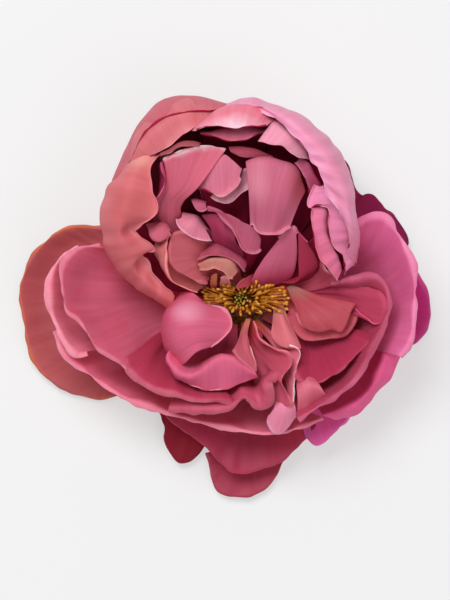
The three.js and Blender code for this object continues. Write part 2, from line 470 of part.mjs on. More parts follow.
petal('crown_right', 0xf0a0be, foot(52, 30, 8.8, -5.6),
  row([24, 9, 2], [28, 24, 5], [14, 42, 5], [-3, 44, 4]),
  row([30.4, 9.4, 10], [31, 16, 13], [29.6, 28, 14], [27.4, 37, 14], [20, 45.4, 14], [11, 51, 14], [2, 53.8, 13],
    [-5, 52, 12]),
  row([28.4, 12.6, 22], [28.6, 22, 31], [26, 31, 34.6], [21, 39.6, 36], [13, 46.6, 35.6], [3, 51.6, 31],
    [-5, 51.2, 24]),
  row([28.6, 18.6, 27], [24, 27, 33], [21.8, 30.7, 34], [19.5, 35.2, 35], [17, 39, 35.6], [13, 44, 35],
    [9.4, 47.8, 33], [4, 51, 30], [-4, 51.2, 25]));

// ---- guard petals, which droop to the surface ----

petal('magenta_curl', 0xd75a9b, foot(304, 10, 8.8, -7.4),
  row([14, -25, -10], [19, -25, -11], [23, -22, -10.6]),
  row([17, -37, -9], [20, -39.8, -7.6], [24, -37.5, -6.4], [27, -33.8, -5.8], [28.6, -31.6, -6],
    [29, -27, -7]));
petal('low_front_guard', 0x963c46, foot(266, 26, 9, -8.4),
  row([-16, -24, -13], [0, -28, -15], [16, -25, -13]),
  row([-24.5, -28.5, -8], [-18, -34, -9], [-10, -40.5, -10], [-5, -45.5, -11], [0, -47, -11.6], [5, -45.8, -11],
    [10.5, -44, -10], [16, -39, -9.4], [20, -34, -9]));
petal('dark_guard', 0x6e0023, foot(236, 14, 9.2, -9.6),
  row([-18, -21, -14.6], [-13, -27, -16], [-7, -29, -16]),
  row([-24.5, -28.4, -14], [-21.5, -34.5, -15], [-20.5, -40, -16], [-17.3, -44.2, -16.6], [-14, -43.5, -17],
    [-11, -40.6, -17], [-8, -36, -17]));
petal('front_guard', 0x963246, foot(270, 18, 9.4, -10),
  row([-6, -30, -16.6], [0, -33, -17.4], [11, -29, -16]),
  row([-7, -41, -19], [0, -45, -19.5], [11, -39, -18.6]),
  row([-9.6, -42, -17.6], [-8.6, -46.6, -17.6], [-7, -51.8, -17.6], [-3, -53.6, -17.2], [3, -53.3, -17.2],
    [8, -50, -17.4], [10.6, -45, -17], [12.4, -40, -16.4]));
petal('right_guard_low', 0x780050, foot(348, 16, 9.4, -9.6),
  row([31, -14, -15], [35, -3, -16], [31, 6, -15]),
  row([39, -12, -18], [45.5, -2, -19.5], [41, 7, -18.6]),
  row([43.3, -12.8, -16.4], [47.5, -10.5, -17.4], [50.8, -6, -17.4], [51.3, -1, -17], [48.4, 5.4, -17],
    [46.5, 8.3, -17], [43, 8.8, -17]));
petal('right_guard_high', 0x6e003c, foot(36, 18, 9.4, -9),
  row([31, 7, -12.6], [29, 18, -14], [17, 27, -13]),
  row([42, 10, -14], [45.4, 14.5, -16], [45, 18, -17.4], [39, 25.5, -18.4], [35.5, 29.2, -17.6],
    [32, 28.7, -15], [30.8, 31, -15], [28.5, 37, -16], [26, 39.5, -16.4], [19, 38, -15]));
petal('left_guard', 0xa5414b, foot(180, 24, 9.4, -9.4),
  row([-25, 13, -13], [-31, 0, -16], [-26, -17, -14.6]),
  row([-34, 17, -16], [-47, 14, -19], [-53, -1, -19.5], [-48, -16, -19.5], [-31, -24, -17.4]),
  row([-38, 19.4, -15], [-48, 19.6, -15], [-56, 13.8, -15], [-60.8, 4, -15.6], [-60.2, -4, -16],
    [-57, -17, -16.4], [-50, -23.5, -17], [-42, -26.8, -17.4], [-34, -26, -17.4]));
petal('back_guard', 0x96323c, foot(106, 40, 9.4, -9.8),
  row([19, 24, -15], [4, 33, -16.6], [-14, 30, -16], [-27, 14, -15]),
  row([20, 36, -18], [4, 45, -19.5], [-18, 40, -19.5], [-31, 22, -18]),
  row([20, 41, -16], [12, 47, -16.4], [0, 50, -16.6], [-12, 49, -16.6], [-22, 43, -16.4], [-30, 34, -16],
    [-34, 24, -15.6]));

// The origin is the middle of the flower's box, on the surface it lies on.
const box = new THREE.Box3().setFromObject(rose);
rose.position.set(-(box.min.x + box.max.x) / 2, -(box.min.y + box.max.y) / 2, -box.min.z);

export default rose;
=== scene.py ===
import math
import bpy
import numpy as np
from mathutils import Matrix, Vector, noise


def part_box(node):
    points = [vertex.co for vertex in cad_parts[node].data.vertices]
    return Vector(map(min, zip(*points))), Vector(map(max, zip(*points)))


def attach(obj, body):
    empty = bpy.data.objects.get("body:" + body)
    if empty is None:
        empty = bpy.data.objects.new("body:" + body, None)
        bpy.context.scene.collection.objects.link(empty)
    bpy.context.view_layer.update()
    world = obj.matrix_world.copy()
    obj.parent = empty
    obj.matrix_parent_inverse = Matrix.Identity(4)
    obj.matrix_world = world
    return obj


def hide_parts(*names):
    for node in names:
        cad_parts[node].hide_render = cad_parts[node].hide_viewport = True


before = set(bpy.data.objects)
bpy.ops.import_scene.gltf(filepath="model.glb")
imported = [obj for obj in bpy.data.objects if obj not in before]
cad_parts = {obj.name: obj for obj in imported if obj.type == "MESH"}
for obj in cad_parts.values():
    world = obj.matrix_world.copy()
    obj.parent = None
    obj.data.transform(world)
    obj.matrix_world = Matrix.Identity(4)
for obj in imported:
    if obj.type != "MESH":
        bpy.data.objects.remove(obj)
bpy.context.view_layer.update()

# A garden rose seen from straight above. The flower is drawn in millimetres about its own axis,
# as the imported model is, and moved onto that model by the place of its hip.
mm = 0.001

hipLow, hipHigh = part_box("hip")
hipTop = -1.4            # height of the hip's top in the flower's own millimetres
flowerAxis = Vector(((hipLow[0] + hipHigh[0]) / 2, (hipLow[1] + hipHigh[1]) / 2, hipHigh[2] - hipTop * mm))
print("frame loaded, flower axis at", [round(value, 4) for value in flowerAxis])

bpy.ops.object.select_all(action="DESELECT")

# a petal's grid: its step in mm, and the fewest and most steps across it and from foot to rim
petalGrid = {"step": 0.95, "across": (10, 90), "along": (8, 70)}

# what a petal has unless its own dictionary says otherwise: lip, its rolled rim, and thickness in mm,
# roll in degrees, and ruffle, ragged and pleat as shares of the heights below
petalDefaults = {
    "lip": 0.8, "lipSteps": 6, "roll": 120, "ruffle": 0.6, "ragged": 0.5, "pleat": 1.0, "thickness": 0.28,
    "roughness": 0.55, "veins": 0.2, "veinCount": 24, "veinTint": (225, 150, 170), "patches": [],
}

# how a petal's sheet is stirred: noise steps for each mm across, from foot to rim, and for each seed,
# and each noise's height in mm; nibbles have steps across only, and one level each
stirs = {
    "wave": (0.13, 0.8, 3.7), "waveHeight": 2.4,
    "crinkle": (0.5, 3.0, 1.9), "crinkleHeight": 0.45,
    "pleat": (0.3, 0.7, 5.3), "pleatHeight": 0.35,
    "crease": (0.2, 1.1, 8.1), "creaseHeight": 0.7, "creaseLevel": 0.25,
    "nibble": (0.33, 4.4), "fineNibble": (0.9, 6.1), "fineShare": 0.6,
}


def toFrame(point):
    return flowerAxis + Vector(point) * mm


def paint(red, green, blue):
    # screen colour, 0 to 255, to the linear colour that a shader takes
    channels = [value / 255 for value in (red, green, blue)]
    linear = [c / 12.92 if c <= 0.04045 else ((c + 0.055) / 1.055) ** 2.4 for c in channels]
    return (*linear, 1.0)


def foot(angle, spread, radius, height):
    # where a petal is joined: a short arc round the flower's axis
    turns = [math.radians(angle + side * spread) for side in (-1, 0, 1)]
    return [(radius * math.cos(turn), radius * math.sin(turn), height) for turn in turns]


def smoothLine(points, count):
    # a centripetal Catmull-Rom curve through the points, cut into even steps
    knots = np.array(points, float)
    knots = np.vstack([2 * knots[0] - knots[1], knots, 2 * knots[-1] - knots[-2]])
    fine = []
    for p0, p1, p2, p3 in zip(knots, knots[1:], knots[2:], knots[3:]):
        t1 = max(np.linalg.norm(p1 - p0), 1e-6) ** 0.5
        t2 = t1 + max(np.linalg.norm(p2 - p1), 1e-6) ** 0.5
        t3 = t2 + max(np.linalg.norm(p3 - p2), 1e-6) ** 0.5
        t = np.linspace(t1, t2, 14)[:, None]
        a1 = (t1 - t) / t1 * p0 + t / t1 * p1
        a2 = (t2 - t) / (t2 - t1) * p1 + (t - t1) / (t2 - t1) * p2
        a3 = (t3 - t) / (t3 - t2) * p2 + (t - t2) / (t3 - t2) * p3
        b1 = (t2 - t) / t2 * a1 + t / t2 * a2
        b2 = (t3 - t) / (t3 - t1) * a2 + (t - t1) / (t3 - t1) * a3
        fine.append((t2 - t) / (t2 - t1) * b1 + (t - t1) / (t2 - t1) * b2)
    fine = np.vstack(fine)
    run = np.concatenate([[0], np.cumsum(np.linalg.norm(np.diff(fine, axis=0), axis=1))])
    even = np.linspace(0, run[-1], count)
    return np.stack([np.interp(even, run, fine[:, axis]) for axis in range(3)], axis=1)


def lengthOf(points):
    return float(np.linalg.norm(np.diff(np.array(points, float), axis=0), axis=1).sum())


def unit(vectors):
    return vectors / np.maximum(np.linalg.norm(vectors, axis=-1, keepdims=True), 1e-9)


def stirAt(kind, i, j, seed):
    across, along, apart = stirs[kind]
    return noise.noise((i * across, along * j, apart * seed))


def nibbleAt(kind, i, seed):
    across, level = stirs[kind]
    return noise.noise((i * across, level, seed))


def petalSurface(look, across, along):
    # the rows give the sheet, then its rim is rolled back and its face is ruffled
    lines = np.stack([smoothLine(row, across) for row in look["rows"]])
    sheet = np.stack([smoothLine(lines[:, column], along) for column in range(across)])
    if look["lip"] > 0:
        heading = unit(sheet[:, -1] - sheet[:, -3])
        sideways = unit(np.gradient(sheet[:, -1], axis=0))
        inward = unit(np.cross(heading, sideways))
        point = sheet[:, -1]
        extra = []
        for step in range(1, look["lipSteps"] + 1):
            turn = math.radians(look["roll"] * step / look["lipSteps"])
            bent = heading * math.cos(turn) - inward * math.sin(turn)
            point = point + bent * (look["lip"] / look["lipSteps"])
            extra.append(point)
        sheet = np.concatenate([sheet, np.stack(extra, axis=1)], axis=1)
    overAcross = np.gradient(sheet, axis=0)
    overAlong = np.gradient(sheet, axis=1)
    normal = unit(np.cross(overAlong, overAcross))
    u = np.linspace(0, 1, sheet.shape[0])[:, None]
    v = np.linspace(0, 1, sheet.shape[1])[None, :]
    width = lengthOf(look["rows"][-1])
    seed = look["seed"]
    lift = np.zeros(sheet.shape[:2])
    push = np.zeros(sheet.shape[:2])
    for column, i in enumerate(u[:, 0] * width):
        for line, j in enumerate(v[0]):
            wave = stirAt("wave", i, j, seed)
            crinkle = stirAt("crinkle", i, j, seed)
            pleat = stirAt("pleat", i, j, seed)
            crease = stirs["creaseLevel"] - abs(stirAt("crease", i, j, seed))
            folds = look["pleat"] * (stirs["pleatHeight"] * pleat + stirs["creaseHeight"] * crease)
            lift[column, line] = (look["ruffle"] * wave * stirs["waveHeight"] * j ** 2.5
                                  + stirs["crinkleHeight"] * look["ruffle"] * crinkle * j ** 2
                                  + folds * min(1, 3 * j))
            nibble = nibbleAt("nibble", i, seed) + stirs["fineShare"] * nibbleAt("fineNibble", i, seed)
            push[column, line] = look["ragged"] * nibble * j ** 5
    return sheet + normal * lift[..., None] + unit(overAlong) * push[..., None]


def between(one, other, share):
    return tuple(a + (b - a) * share for a, b in zip(one, other))


def standFor(piece, node):
    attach(piece, "root")
    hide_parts(node)
    piece.select_set(False)


def makePetal(own):
    look = {**petalDefaults, "name": own["node"], **own}
    width = max(lengthOf(row) for row in look["rows"])
    reach = lengthOf([np.array(row).mean(axis=0) for row in look["rows"]])
    fewest, most = petalGrid["across"]
    across = int(min(max(width / petalGrid["step"], fewest), most))
    fewest, most = petalGrid["along"]
    along = int(min(max(reach / petalGrid["step"], fewest), most))
    surface = petalSurface(look, across, along)
    across, along = surface.shape[:2]
    bpy.ops.mesh.primitive_grid_add(x_subdivisions=across - 1, y_subdivisions=along - 1, size=1)
    petal = bpy.context.object
    petal.name = look["name"] + "_skin"
    for vert in petal.data.vertices:
        column = round((vert.co.x + 0.5) * (across - 1))
        line = round((vert.co.y + 0.5) * (along - 1))
        vert.co = toFrame(surface[column, line])
    bpy.ops.object.mode_set(mode="EDIT")
    bpy.ops.mesh.select_all(action="SELECT")
    bpy.ops.mesh.flip_normals()
    bpy.ops.object.mode_set(mode="OBJECT")
    thicken = petal.modifiers.new("thickness", "SOLIDIFY")
    if "shadedSide" in look:
        # one side is darker, painted shade for the hollow under the dome: the sheet's first faces keep slot
        # 0, its other side and its edge take slot 1
        paintedShade = look["shadedSide"]
        petal.data.materials.append(petalMaterial(dict(look, body=paintedShade, rim=paintedShade, foot=paintedShade, patches=[])))
        thicken.material_offset = 1
        thicken.material_offset_rim = 1
    petal.data.materials.append(petalMaterial(look))
    thicken.thickness = look["thickness"] * mm
    thicken.offset = 0
    thicken.use_even_offset = False
    soften = petal.modifiers.new("soften", "SUBSURF")
    soften.levels = 1
    soften.render_levels = 1
    bpy.ops.object.modifier_apply(modifier="thickness")
    bpy.ops.object.modifier_apply(modifier="soften")
    bpy.ops.object.shade_smooth()
    standFor(petal, look["node"])


# a patch is a ball's centre and its three radii in mm, its colour, and its strength at the centre
heartBlush = ((0.5, -0.5, 1), (14, 9, 7), (214, 138, 66), 0.85)
# a darker crimson for the side of the dome petals that faces the hollow beneath them: painted shade
domeUndersideShade = (152, 20, 58)

# where each colour ends or starts along a petal, 0 at its foot and 1 at its rim, and how far clouds
# drift that; noise scales are per metre on clouds and blotches
petalFinish = {
    "specular": 0.22, "glow": 0.22, "glowReach": (0.0035, 0.0012, 0.0012),
    "footEnd": 0.04, "bodyStart": 0.42, "bodyEnd": 0.86, "rimStart": 0.97, "drift": 0.22,
    "clouds": 70, "blotches": 160, "blotchStrength": 0.25, "blotchFoot": 0.3, "veinLength": 1.6,
    "reliefStrength": 0.2, "reliefDepth": 0.0003,
}


def newFinish(name, roughness, finish):
    # a matt living skin that lets a little light through; reaches and depths are in metres
    material = bpy.data.materials.new(name + "_finish")
    material.use_nodes = True
    shader = material.node_tree.nodes["Principled BSDF"]
    shader.inputs["Roughness"].default_value = roughness
    shader.inputs["Specular IOR Level"].default_value = finish["specular"]
    shader.inputs["Subsurface Weight"].default_value = finish["glow"]
    shader.inputs["Subsurface Radius"].default_value = finish["glowReach"]
    shader.inputs["Subsurface Scale"].default_value = 1.0
    return material, shader


def addNoise(material, coordinates, scale, detail):
    cloud = material.node_tree.nodes.new("ShaderNodeTexNoise")
    cloud.inputs["Scale"].default_value = scale
    cloud.inputs["Detail"].default_value = detail
    material.node_tree.links.new(coordinates, cloud.inputs["Vector"])
    return cloud


def addRange(material, value, fromMin, fromMax, toMin, toMax):
    span = material.node_tree.nodes.new("ShaderNodeMapRange")
    span.inputs["From Min"].default_value = fromMin
    span.inputs["From Max"].default_value = fromMax
    span.inputs["To Min"].default_value = toMin
    span.inputs["To Max"].default_value = toMax
    material.node_tree.links.new(value, span.inputs["Value"])
    return span


def addMix(material, share, base, tint):
    # the base colour, with a share of the tint laid over it
    mix = material.node_tree.nodes.new("ShaderNodeMix")
    mix.data_type = "RGBA"
    material.node_tree.links.new(share, mix.inputs["Factor"])
    material.node_tree.links.new(base, mix.inputs["A"])
    mix.inputs["B"].default_value = paint(*tint)
    return mix


def addRelief(material, height, shader, finish):
    relief = material.node_tree.nodes.new("ShaderNodeBump")
    relief.inputs["Strength"].default_value = finish["reliefStrength"]
    relief.inputs["Distance"].default_value = finish["reliefDepth"]
    material.node_tree.links.new(height, relief.inputs["Height"])
    material.node_tree.links.new(relief.outputs[0], shader.inputs["Normal"])


def petalMaterial(look):
    finish = petalFinish
    material, shader = newFinish(look["name"], look["roughness"], finish)
    nodes = material.node_tree.nodes
    links = material.node_tree.links

    uvMap = nodes.new("ShaderNodeUVMap")
    split = nodes.new("ShaderNodeSeparateXYZ")
    links.new(uvMap.outputs["UV"], split.inputs[0])
    place = nodes.new("ShaderNodeTexCoord")

    # the colour runs from foot to rim, on a line that clouds push to and fro; the dark foot colour is the
    # petal's deeper base and painted shade deep in the flower, and the light rim colour is its paler edge
    # and a painted highlight
    cloud = addNoise(material, place.outputs["Object"], finish["clouds"], 3)
    drift = nodes.new("ShaderNodeMath")
    drift.operation = "MULTIPLY_ADD"
    drift.inputs[1].default_value = finish["drift"]
    drift.inputs[2].default_value = -finish["drift"] / 2
    links.new(cloud.outputs["Fac"], drift.inputs[0])
    along = nodes.new("ShaderNodeMath")
    along.operation = "ADD"
    links.new(split.outputs["Y"], along.inputs[0])
    links.new(drift.outputs[0], along.inputs[1])

    ramp = nodes.new("ShaderNodeValToRGB")
    ramp.color_ramp.interpolation = "EASE"
    stops = [(finish["footEnd"], look["foot"]), (finish["bodyStart"], look["body"]),
             (finish["bodyEnd"], look["body"]), (finish["rimStart"], look["rim"])]
    ramp.color_ramp.elements[0].position = stops[0][0]
    ramp.color_ramp.elements[0].color = paint(*stops[0][1])
    ramp.color_ramp.elements[1].position = stops[-1][0]
    ramp.color_ramp.elements[1].color = paint(*stops[-1][1])
    for position, colour in stops[1:-1]:
        ramp.color_ramp.elements.new(position).color = paint(*colour)
    links.new(along.outputs[0], ramp.inputs[0])

    # veins run from the foot to the rim
    stretch = nodes.new("ShaderNodeMapping")
    stretch.inputs["Scale"].default_value = (look["veinCount"], finish["veinLength"], 1)
    links.new(uvMap.outputs["UV"], stretch.inputs["Vector"])
    veins = addNoise(material, stretch.outputs[0], 1.0, 4)
    veins.inputs["Roughness"].default_value = 0.6
    veinRange = addRange(material, veins.outputs["Fac"], 0.42, 0.62, 0, look["veins"])
    veined = addMix(material, veinRange.outputs[0], ramp.outputs["Color"], look["veinTint"])
    veined.blend_type = "MULTIPLY"

    # soft uneven tint over the whole face
    blotch = addNoise(material, place.outputs["Object"], finish["blotches"], 5)
    blotchRange = addRange(material, blotch.outputs["Fac"], 0.45, 0.7, 0, finish["blotchStrength"])
    blotchTint = between(look["body"], look["foot"], finish["blotchFoot"])
    tinted = addMix(material, blotchRange.outputs[0], veined.outputs["Result"], blotchTint)
    colour = tinted.outputs["Result"]

    # soft patches of another colour, each a ball in the flower's own millimetres; every petal has the golden
    # blush round the stamens, and the petals' own patches are mostly painted shade in hollows and painted
    # highlights on bulges
    for centre, reach, patchColour, strength in [heartBlush] + look["patches"]:
        fromCentre = nodes.new("ShaderNodeVectorMath")
        fromCentre.operation = "SUBTRACT"
        fromCentre.inputs[1].default_value = toFrame(centre)
        links.new(place.outputs["Object"], fromCentre.inputs[0])
        scaled = nodes.new("ShaderNodeVectorMath")
        scaled.operation = "MULTIPLY"
        scaled.inputs[1].default_value = [1 / (radius * mm) for radius in reach]
        links.new(fromCentre.outputs[0], scaled.inputs[0])
        span = nodes.new("ShaderNodeVectorMath")
        span.operation = "LENGTH"
        links.new(scaled.outputs[0], span.inputs[0])
        fade = addRange(material, span.outputs["Value"], 0, 1, strength, 0)
        fade.interpolation_type = "SMOOTHSTEP"
        patched = addMix(material, fade.outputs[0], colour, patchColour)
        colour = patched.outputs["Result"]
    links.new(colour, shader.inputs["Base Color"])
    addRelief(material, veins.outputs["Fac"], shader, finish)
    return material


# the petals' colours below carry painted shade: petals and feet that lie in valleys and under other petals
# are given deeper, darker crimsons than the lit ones
makePetal({"node": "heart_fold", "seed": 1, "lip": 0.6, "ruffle": 0.15,
    "body": (199, 127, 114), "rim": (214, 146, 139), "foot": (247, 80, 107), "rows": [
    foot(100, 14, 4.6, 0),
    [(-1, 8.5, 6), (-6, 11, 8), (-11, 9.5, 6)],
    [(-1.4, 7.4, 12.4), (-2.2, 9.5, 13.6), (-3.6, 10.8, 14.4), (-5.5, 11.3, 14.8),
     (-8, 11.3, 14.8), (-10.2, 10.8, 14.2), (-12.4, 9.6, 13)],
    [(-2.6, 6.1, 12), (-4, 6.6, 12.6), (-5, 7.8, 13.2), (-6.3, 8.8, 13.8), (-8, 9.3, 13.8),
     (-9.3, 8.8, 13.4), (-11.8, 8.7, 12.2)],
]})
makePetal({"node": "heart_dome", "seed": 2, "ruffle": 0.2,
    "body": (181, 81, 105), "rim": (189, 97, 115), "foot": (144, 44, 69), "rows": [
    foot(96, 18, 5.4, -0.5),
    [(1, 10.4, 8), (-3, 13, 9), (-7.5, 15.4, 9.6), (-12, 11.5, 8)],
    [(1, 9.2, 11.6), (0, 10.8, 12.6), (-2.4, 12.4, 13.2), (-7, 14.4, 13.4), (-11.4, 12.4, 12.6)],
    [(0.4, 7.8, 12.8), (-1, 9.4, 14), (-4, 11.6, 14.8), (-8, 12.2, 15), (-12.4, 10.6, 13.4)],
]})
makePetal({"node": "petaloid", "seed": 3, "lip": 0.5, "ruffle": 0.1,
    "body": (247, 157, 158), "rim": (247, 185, 199), "foot": (222, 120, 91), "rows": [
    [(-3.2, 3, 2.4), (-6.2, 3, 2.4)],
    [(-3.2, 4.3, 6), (-6.3, 4.5, 6)],
    [(-3.6, 5.5, 9), (-5, 6.2, 9.6), (-6, 5.6, 9)],
]})
makePetal({"node": "petaloid", "name": "petaloid_strip", "seed": 4, "lip": 0.3, "ruffle": 0.2,
    "body": (226, 128, 100), "rim": (241, 156, 138), "foot": (191, 86, 47), "rows": [
    [(-7, 2.6, 2), (-8.6, 2.8, 2)],
    [(-7.1, 4.4, 6), (-8.9, 4.2, 6)],
    [(-6.9, 7, 9), (-7.6, 7, 9.2), (-8.6, 6, 9)],
]})
makePetal({"node": "salmon_tongue", "seed": 5, "ruffle": 0.2,
    "body": (222, 113, 123), "rim": (238, 149, 151), "foot": (243, 158, 150), "rows": [
    [(8.6, -1.2, 0.6), (11, -0.6, 1)],
    [(7.9, -5, 5), (10.4, -5, 7), (12.4, -5.5, 6)],
    [(7.7, -9, 8), (8.8, -11.5, 9), (11, -12.6, 10), (14, -12.5, 10), (16, -13, 9.5), (15.3, -11, 8.5)],
]})
makePetal({"node": "salmon_fan", "seed": 6,
    "body": (181, 72, 85), "rim": (214, 121, 131), "foot": (181, 123, 116), "rows": [
    [(12, 3.4, 2), (12.8, 4.3, 2)],
    [(13.5, -0.5, 7), (18, -1, 10.5), (20, 1.6, 9)],
    [(14, -2, 9), (16, -5.6, 10.5), (19, -6, 12), (23, -4.5, 12.5), (26, -1.6, 11.5), (25, 0.4, 10.5)],
    [(14.5, -3, 9.5), (16, -6, 10.5), (18.5, -8.2, 11), (22, -8.4, 11.5), (24, -8.1, 12),
     (26, -8.6, 12), (27.6, -6, 11.8), (29, -2.5, 11.2), (30, -0.7, 10.5)],
]})
makePetal({"node": "salmon_under", "seed": 7,
    "body": (205, 87, 103), "rim": (240, 138, 153), "foot": (134, 41, 14), "rows": [
    [(9.6, 0.8, -0.5), (11.6, 2.6, -0.5)],
    [(12.4, -3, 3), (18, -4, 5), (24, -1, 5)],
    [(11.6, -4, 5), (13, -6.7, 6.5), (17, -10.5, 7.5), (21, -10.6, 8), (26, -9.4, 8.5),
     (29, -7.5, 8.5), (31, -3, 8)],
]})
# its pale peach rim is a painted highlight along the edge
makePetal({"node": "slip_fold", "seed": 8,
    "body": (202, 98, 116), "rim": (247, 206, 193), "foot": (240, 135, 115), "rows": [
    [(0.8, -5, 1), (2.2, -5, 1)],
    [(-1, -10, 7.5), (1.2, -9.4, 7.5)],
    [(-2.5, -13, 12), (-1, -15.5, 13), (1.5, -17.5, 13.5), (3.6, -19.3, 13), (2.2, -15, 12),
     (1.2, -12, 11)],
]})
makePetal({"node": "centre_fold", "seed": 9,
    "body": (197, 81, 105), "rim": (243, 127, 131), "foot": (165, 37, 32), "rows": [
    foot(278, 12, 6, -2),
    [(-0.5, -12, 2.5), (3.4, -13, 4), (5.4, -9.5, 7)],
    [(3, -22, 5), (8, -26.4, 9), (12.4, -28, 12), (11.4, -25, 13), (10, -22, 13.4),
     (12.4, -17.4, 14), (12, -14.8, 14), (8, -13.3, 13.4), (4.6, -10.8, 12), (2.8, -6, 8)],
]})
# its near-white rim is a painted highlight along the edge
makePetal({"node": "centre_slip", "seed": 10,
    "body": (247, 128, 152), "rim": (247, 247, 247), "foot": (182, 62, 59), "rows": [
    foot(300, 8, 6.4, -2),
    [(9, -14, 3), (9.4, -10, 4)],
    [(13.2, -28, 9), (13.4, -24, 10), (13.8, -19, 11), (15.2, -15, 12), (14.8, -13.2, 12),
     (12.4, -12.4, 11)],
]})
# the light patch near the top of this petal is a painted highlight on its bulge
makePetal({"node": "shell_petal", "seed": 11, "ruffle": 0.3, "ragged": 0.2, "patches": [
    ((-15, -3, 18), (7, 5, 6), (246, 176, 196), 0.45)],
    "body": (216, 94, 126), "rim": (236, 142, 164), "foot": (204, 104, 106), "rows": [
    foot(205, 18, 6, -2.5),
    [(-16.5, 2, 3), (-21.5, -8, 2.5), (-18, -17.5, 4)],
    [(-14.6, 2.4, 12), (-19, -2.5, 16), (-19.4, -9, 16.5), (-15.6, -17, 14)],
    [(-13, 1.8, 14), (-14, -5, 19.5), (-12.5, -14, 17.5)],
    [(-9.5, -1.4, 13), (-5.2, -3, 15), (-3.6, -6, 15.5), (-5, -9, 15.5), (-9, -12.6, 15)],
]})
makePetal({"node": "lip_petal", "seed": 12, "lip": 0.8,
    "body": (224, 98, 132), "rim": (240, 146, 168), "foot": (170, 43, 72), "rows": [
    foot(238, 20, 6.8, -3),
    [(-15, -10, 1), (-11, -14.5, 2), (-1, -13, 2)],
    [(-20.6, -14.5, 12.6), (-20.2, -16.5, 13.6), (-17, -20, 14.6), (-14, -20.4, 15),
     (-10.6, -18.2, 15), (-7, -15.3, 15), (-5.4, -14.6, 15), (-2, -16, 15), (0.2, -17.6, 14.6),
     (3.6, -19.8, 13.6)],
    [(-21, -16.6, 11), (-18.4, -20.6, 11), (-14.4, -23.4, 11), (-10, -24.6, 11), (-5, -24, 11),
     (0, -22.2, 11), (4, -20.9, 12)],
]})
makePetal({"node": "violet_face", "seed": 13,
    "body": (228, 111, 143), "rim": (247, 154, 176), "foot": (205, 67, 108), "rows": [
    [(13, 5.4, 2), (7.5, 3.6, 1), (2.2, 1.6, 1)],
    [(14.2, 8.6, 8), (8, 8, 8.6), (2.2, 5, 5.6)],
    [(14.7, 12.5, 13), (10, 12.6, 14), (5, 10.2, 11.4)],
    [(14.2, 17.4, 19), (13.4, 19.2, 20), (11.6, 18.6, 19.4), (9.6, 16.2, 17.8)],
]})
makePetal({"node": "violet_face", "name": "violet_tab", "seed": 14, "lip": 0.4, "ruffle": 0.2,
    "body": (194, 69, 88), "rim": (220, 113, 119), "foot": (146, 36, 54), "rows": [
    [(3, 4, 2), (3.4, 7, 2.4)],
    [(1.6, 3.8, 6), (2.2, 7, 7)],
    [(-1, 3, 7), (-1.8, 3.6, 7.4), (-1, 5, 7.8), (0.5, 6.2, 8)],
]})
makePetal({"node": "violet_side", "seed": 15,
    "body": (178, 52, 82), "rim": (215, 91, 125), "foot": (136, 40, 63), "rows": [
    foot(36, 8, 7.6, -1.5),
    [(20.2, 8.6, 9), (14.4, 5, 7)],
    [(19.6, 11.5, 13.6), (14.9, 10.5, 13)],
    [(17, 15, 18), (14.6, 18.6, 20)],
]})
# its dark patch on the right is painted shade by the gap beside it, and its light patch on the left a
# painted highlight
makePetal({"node": "hanging_petal", "seed": 16, "shadedSide": domeUndersideShade, "patches": [
    ((15, 30, 27), (4.6, 10, 10), (170, 64, 74), 0.8), ((3.6, 31, 29), (5, 9, 8), (240, 152, 170), 0.5)],
    "body": (207, 104, 130), "rim": (220, 130, 151), "foot": (247, 51, 116), "rows": [
    foot(70, 16, 6.4, -2.4),
    [(13, 24, 8), (7, 29, 10), (2, 24, 8)],
    [(16.7, 28.8, 25), (16, 31.4, 26.4), (14, 35.4, 28.8), (9, 37.4, 30), (4, 37.6, 30),
     (0.6, 36.8, 28.4)],
    [(15.4, 26.4, 25.4), (12, 27.5, 28.6), (6, 28.6, 30), (1.3, 29, 27.4)],
    [(12.8, 20, 21.6), (11.2, 19.7, 22), (10.2, 19, 22), (8, 18.2, 22.6), (6, 18.2, 22.4),
     (4, 18.6, 22.2), (2.8, 20.6, 21.8), (1.8, 20.5, 21.4)],
]})
makePetal({"node": "hanging_petal", "name": "back_spike", "seed": 17, "lip": 0.3, "ruffle": 0.2,
    "body": (162, 64, 84), "rim": (176, 85, 102), "foot": (96, 8, 33), "rows": [
    [(6, 38.5, 18), (-2, 40, 18)],
    [(7.9, 38.5, 26), (4, 39.7, 27), (0, 40.5, 27.4), (-4, 40.6, 27.2)],
    [(7.9, 38.3, 26), (4, 38.1, 27), (1.5, 37.9, 27.8), (-1, 38.3, 28), (-3.4, 39.2, 28)],
]})
makePetal({"node": "ribbon_petal", "seed": 18, "shadedSide": domeUndersideShade,
    "body": (190, 90, 116), "rim": (207, 120, 141), "foot": (247, 26, 76), "rows": [
    foot(92, 10, 5.6, -1),
    [(4, 12.6, 8), (0, 15, 9.6), (-6, 21, 11)],
    [(4.8, 16.5, 16.6), (4, 18.3, 17), (2.5, 20, 17.6), (1, 20.9, 18), (-1, 21.9, 18.4),
     (-3, 22.8, 18.8), (-6, 24.2, 19), (-9.8, 25.4, 18.6)],
    [(4.7, 14.2, 14.6), (3.6, 13.5, 14.6), (1.5, 13.8, 15), (0.2, 14.8, 15.6), (-1, 17, 16.2),
     (-2.5, 19.5, 16.8), (-5, 22, 17.2), (-7, 23.6, 17.6), (-9.8, 24.4, 17.6)],
]})
makePetal({"node": "mauve_fold", "seed": 19,
    "body": (171, 58, 92), "rim": (202, 89, 119), "foot": (124, 26, 54), "rows": [
    foot(108, 14, 5.8, -1),
    [(0, 13.4, 9), (-4, 14.4, 10), (-8.4, 16.6, 10.6)],
    [(-2, 16, 12.4), (-5, 18, 14.2), (-9, 19.4, 13)],
    [(-2, 18.6, 14), (-4.4, 21, 15), (-7.4, 22.8, 15.6), (-11, 22.4, 15)],
]})
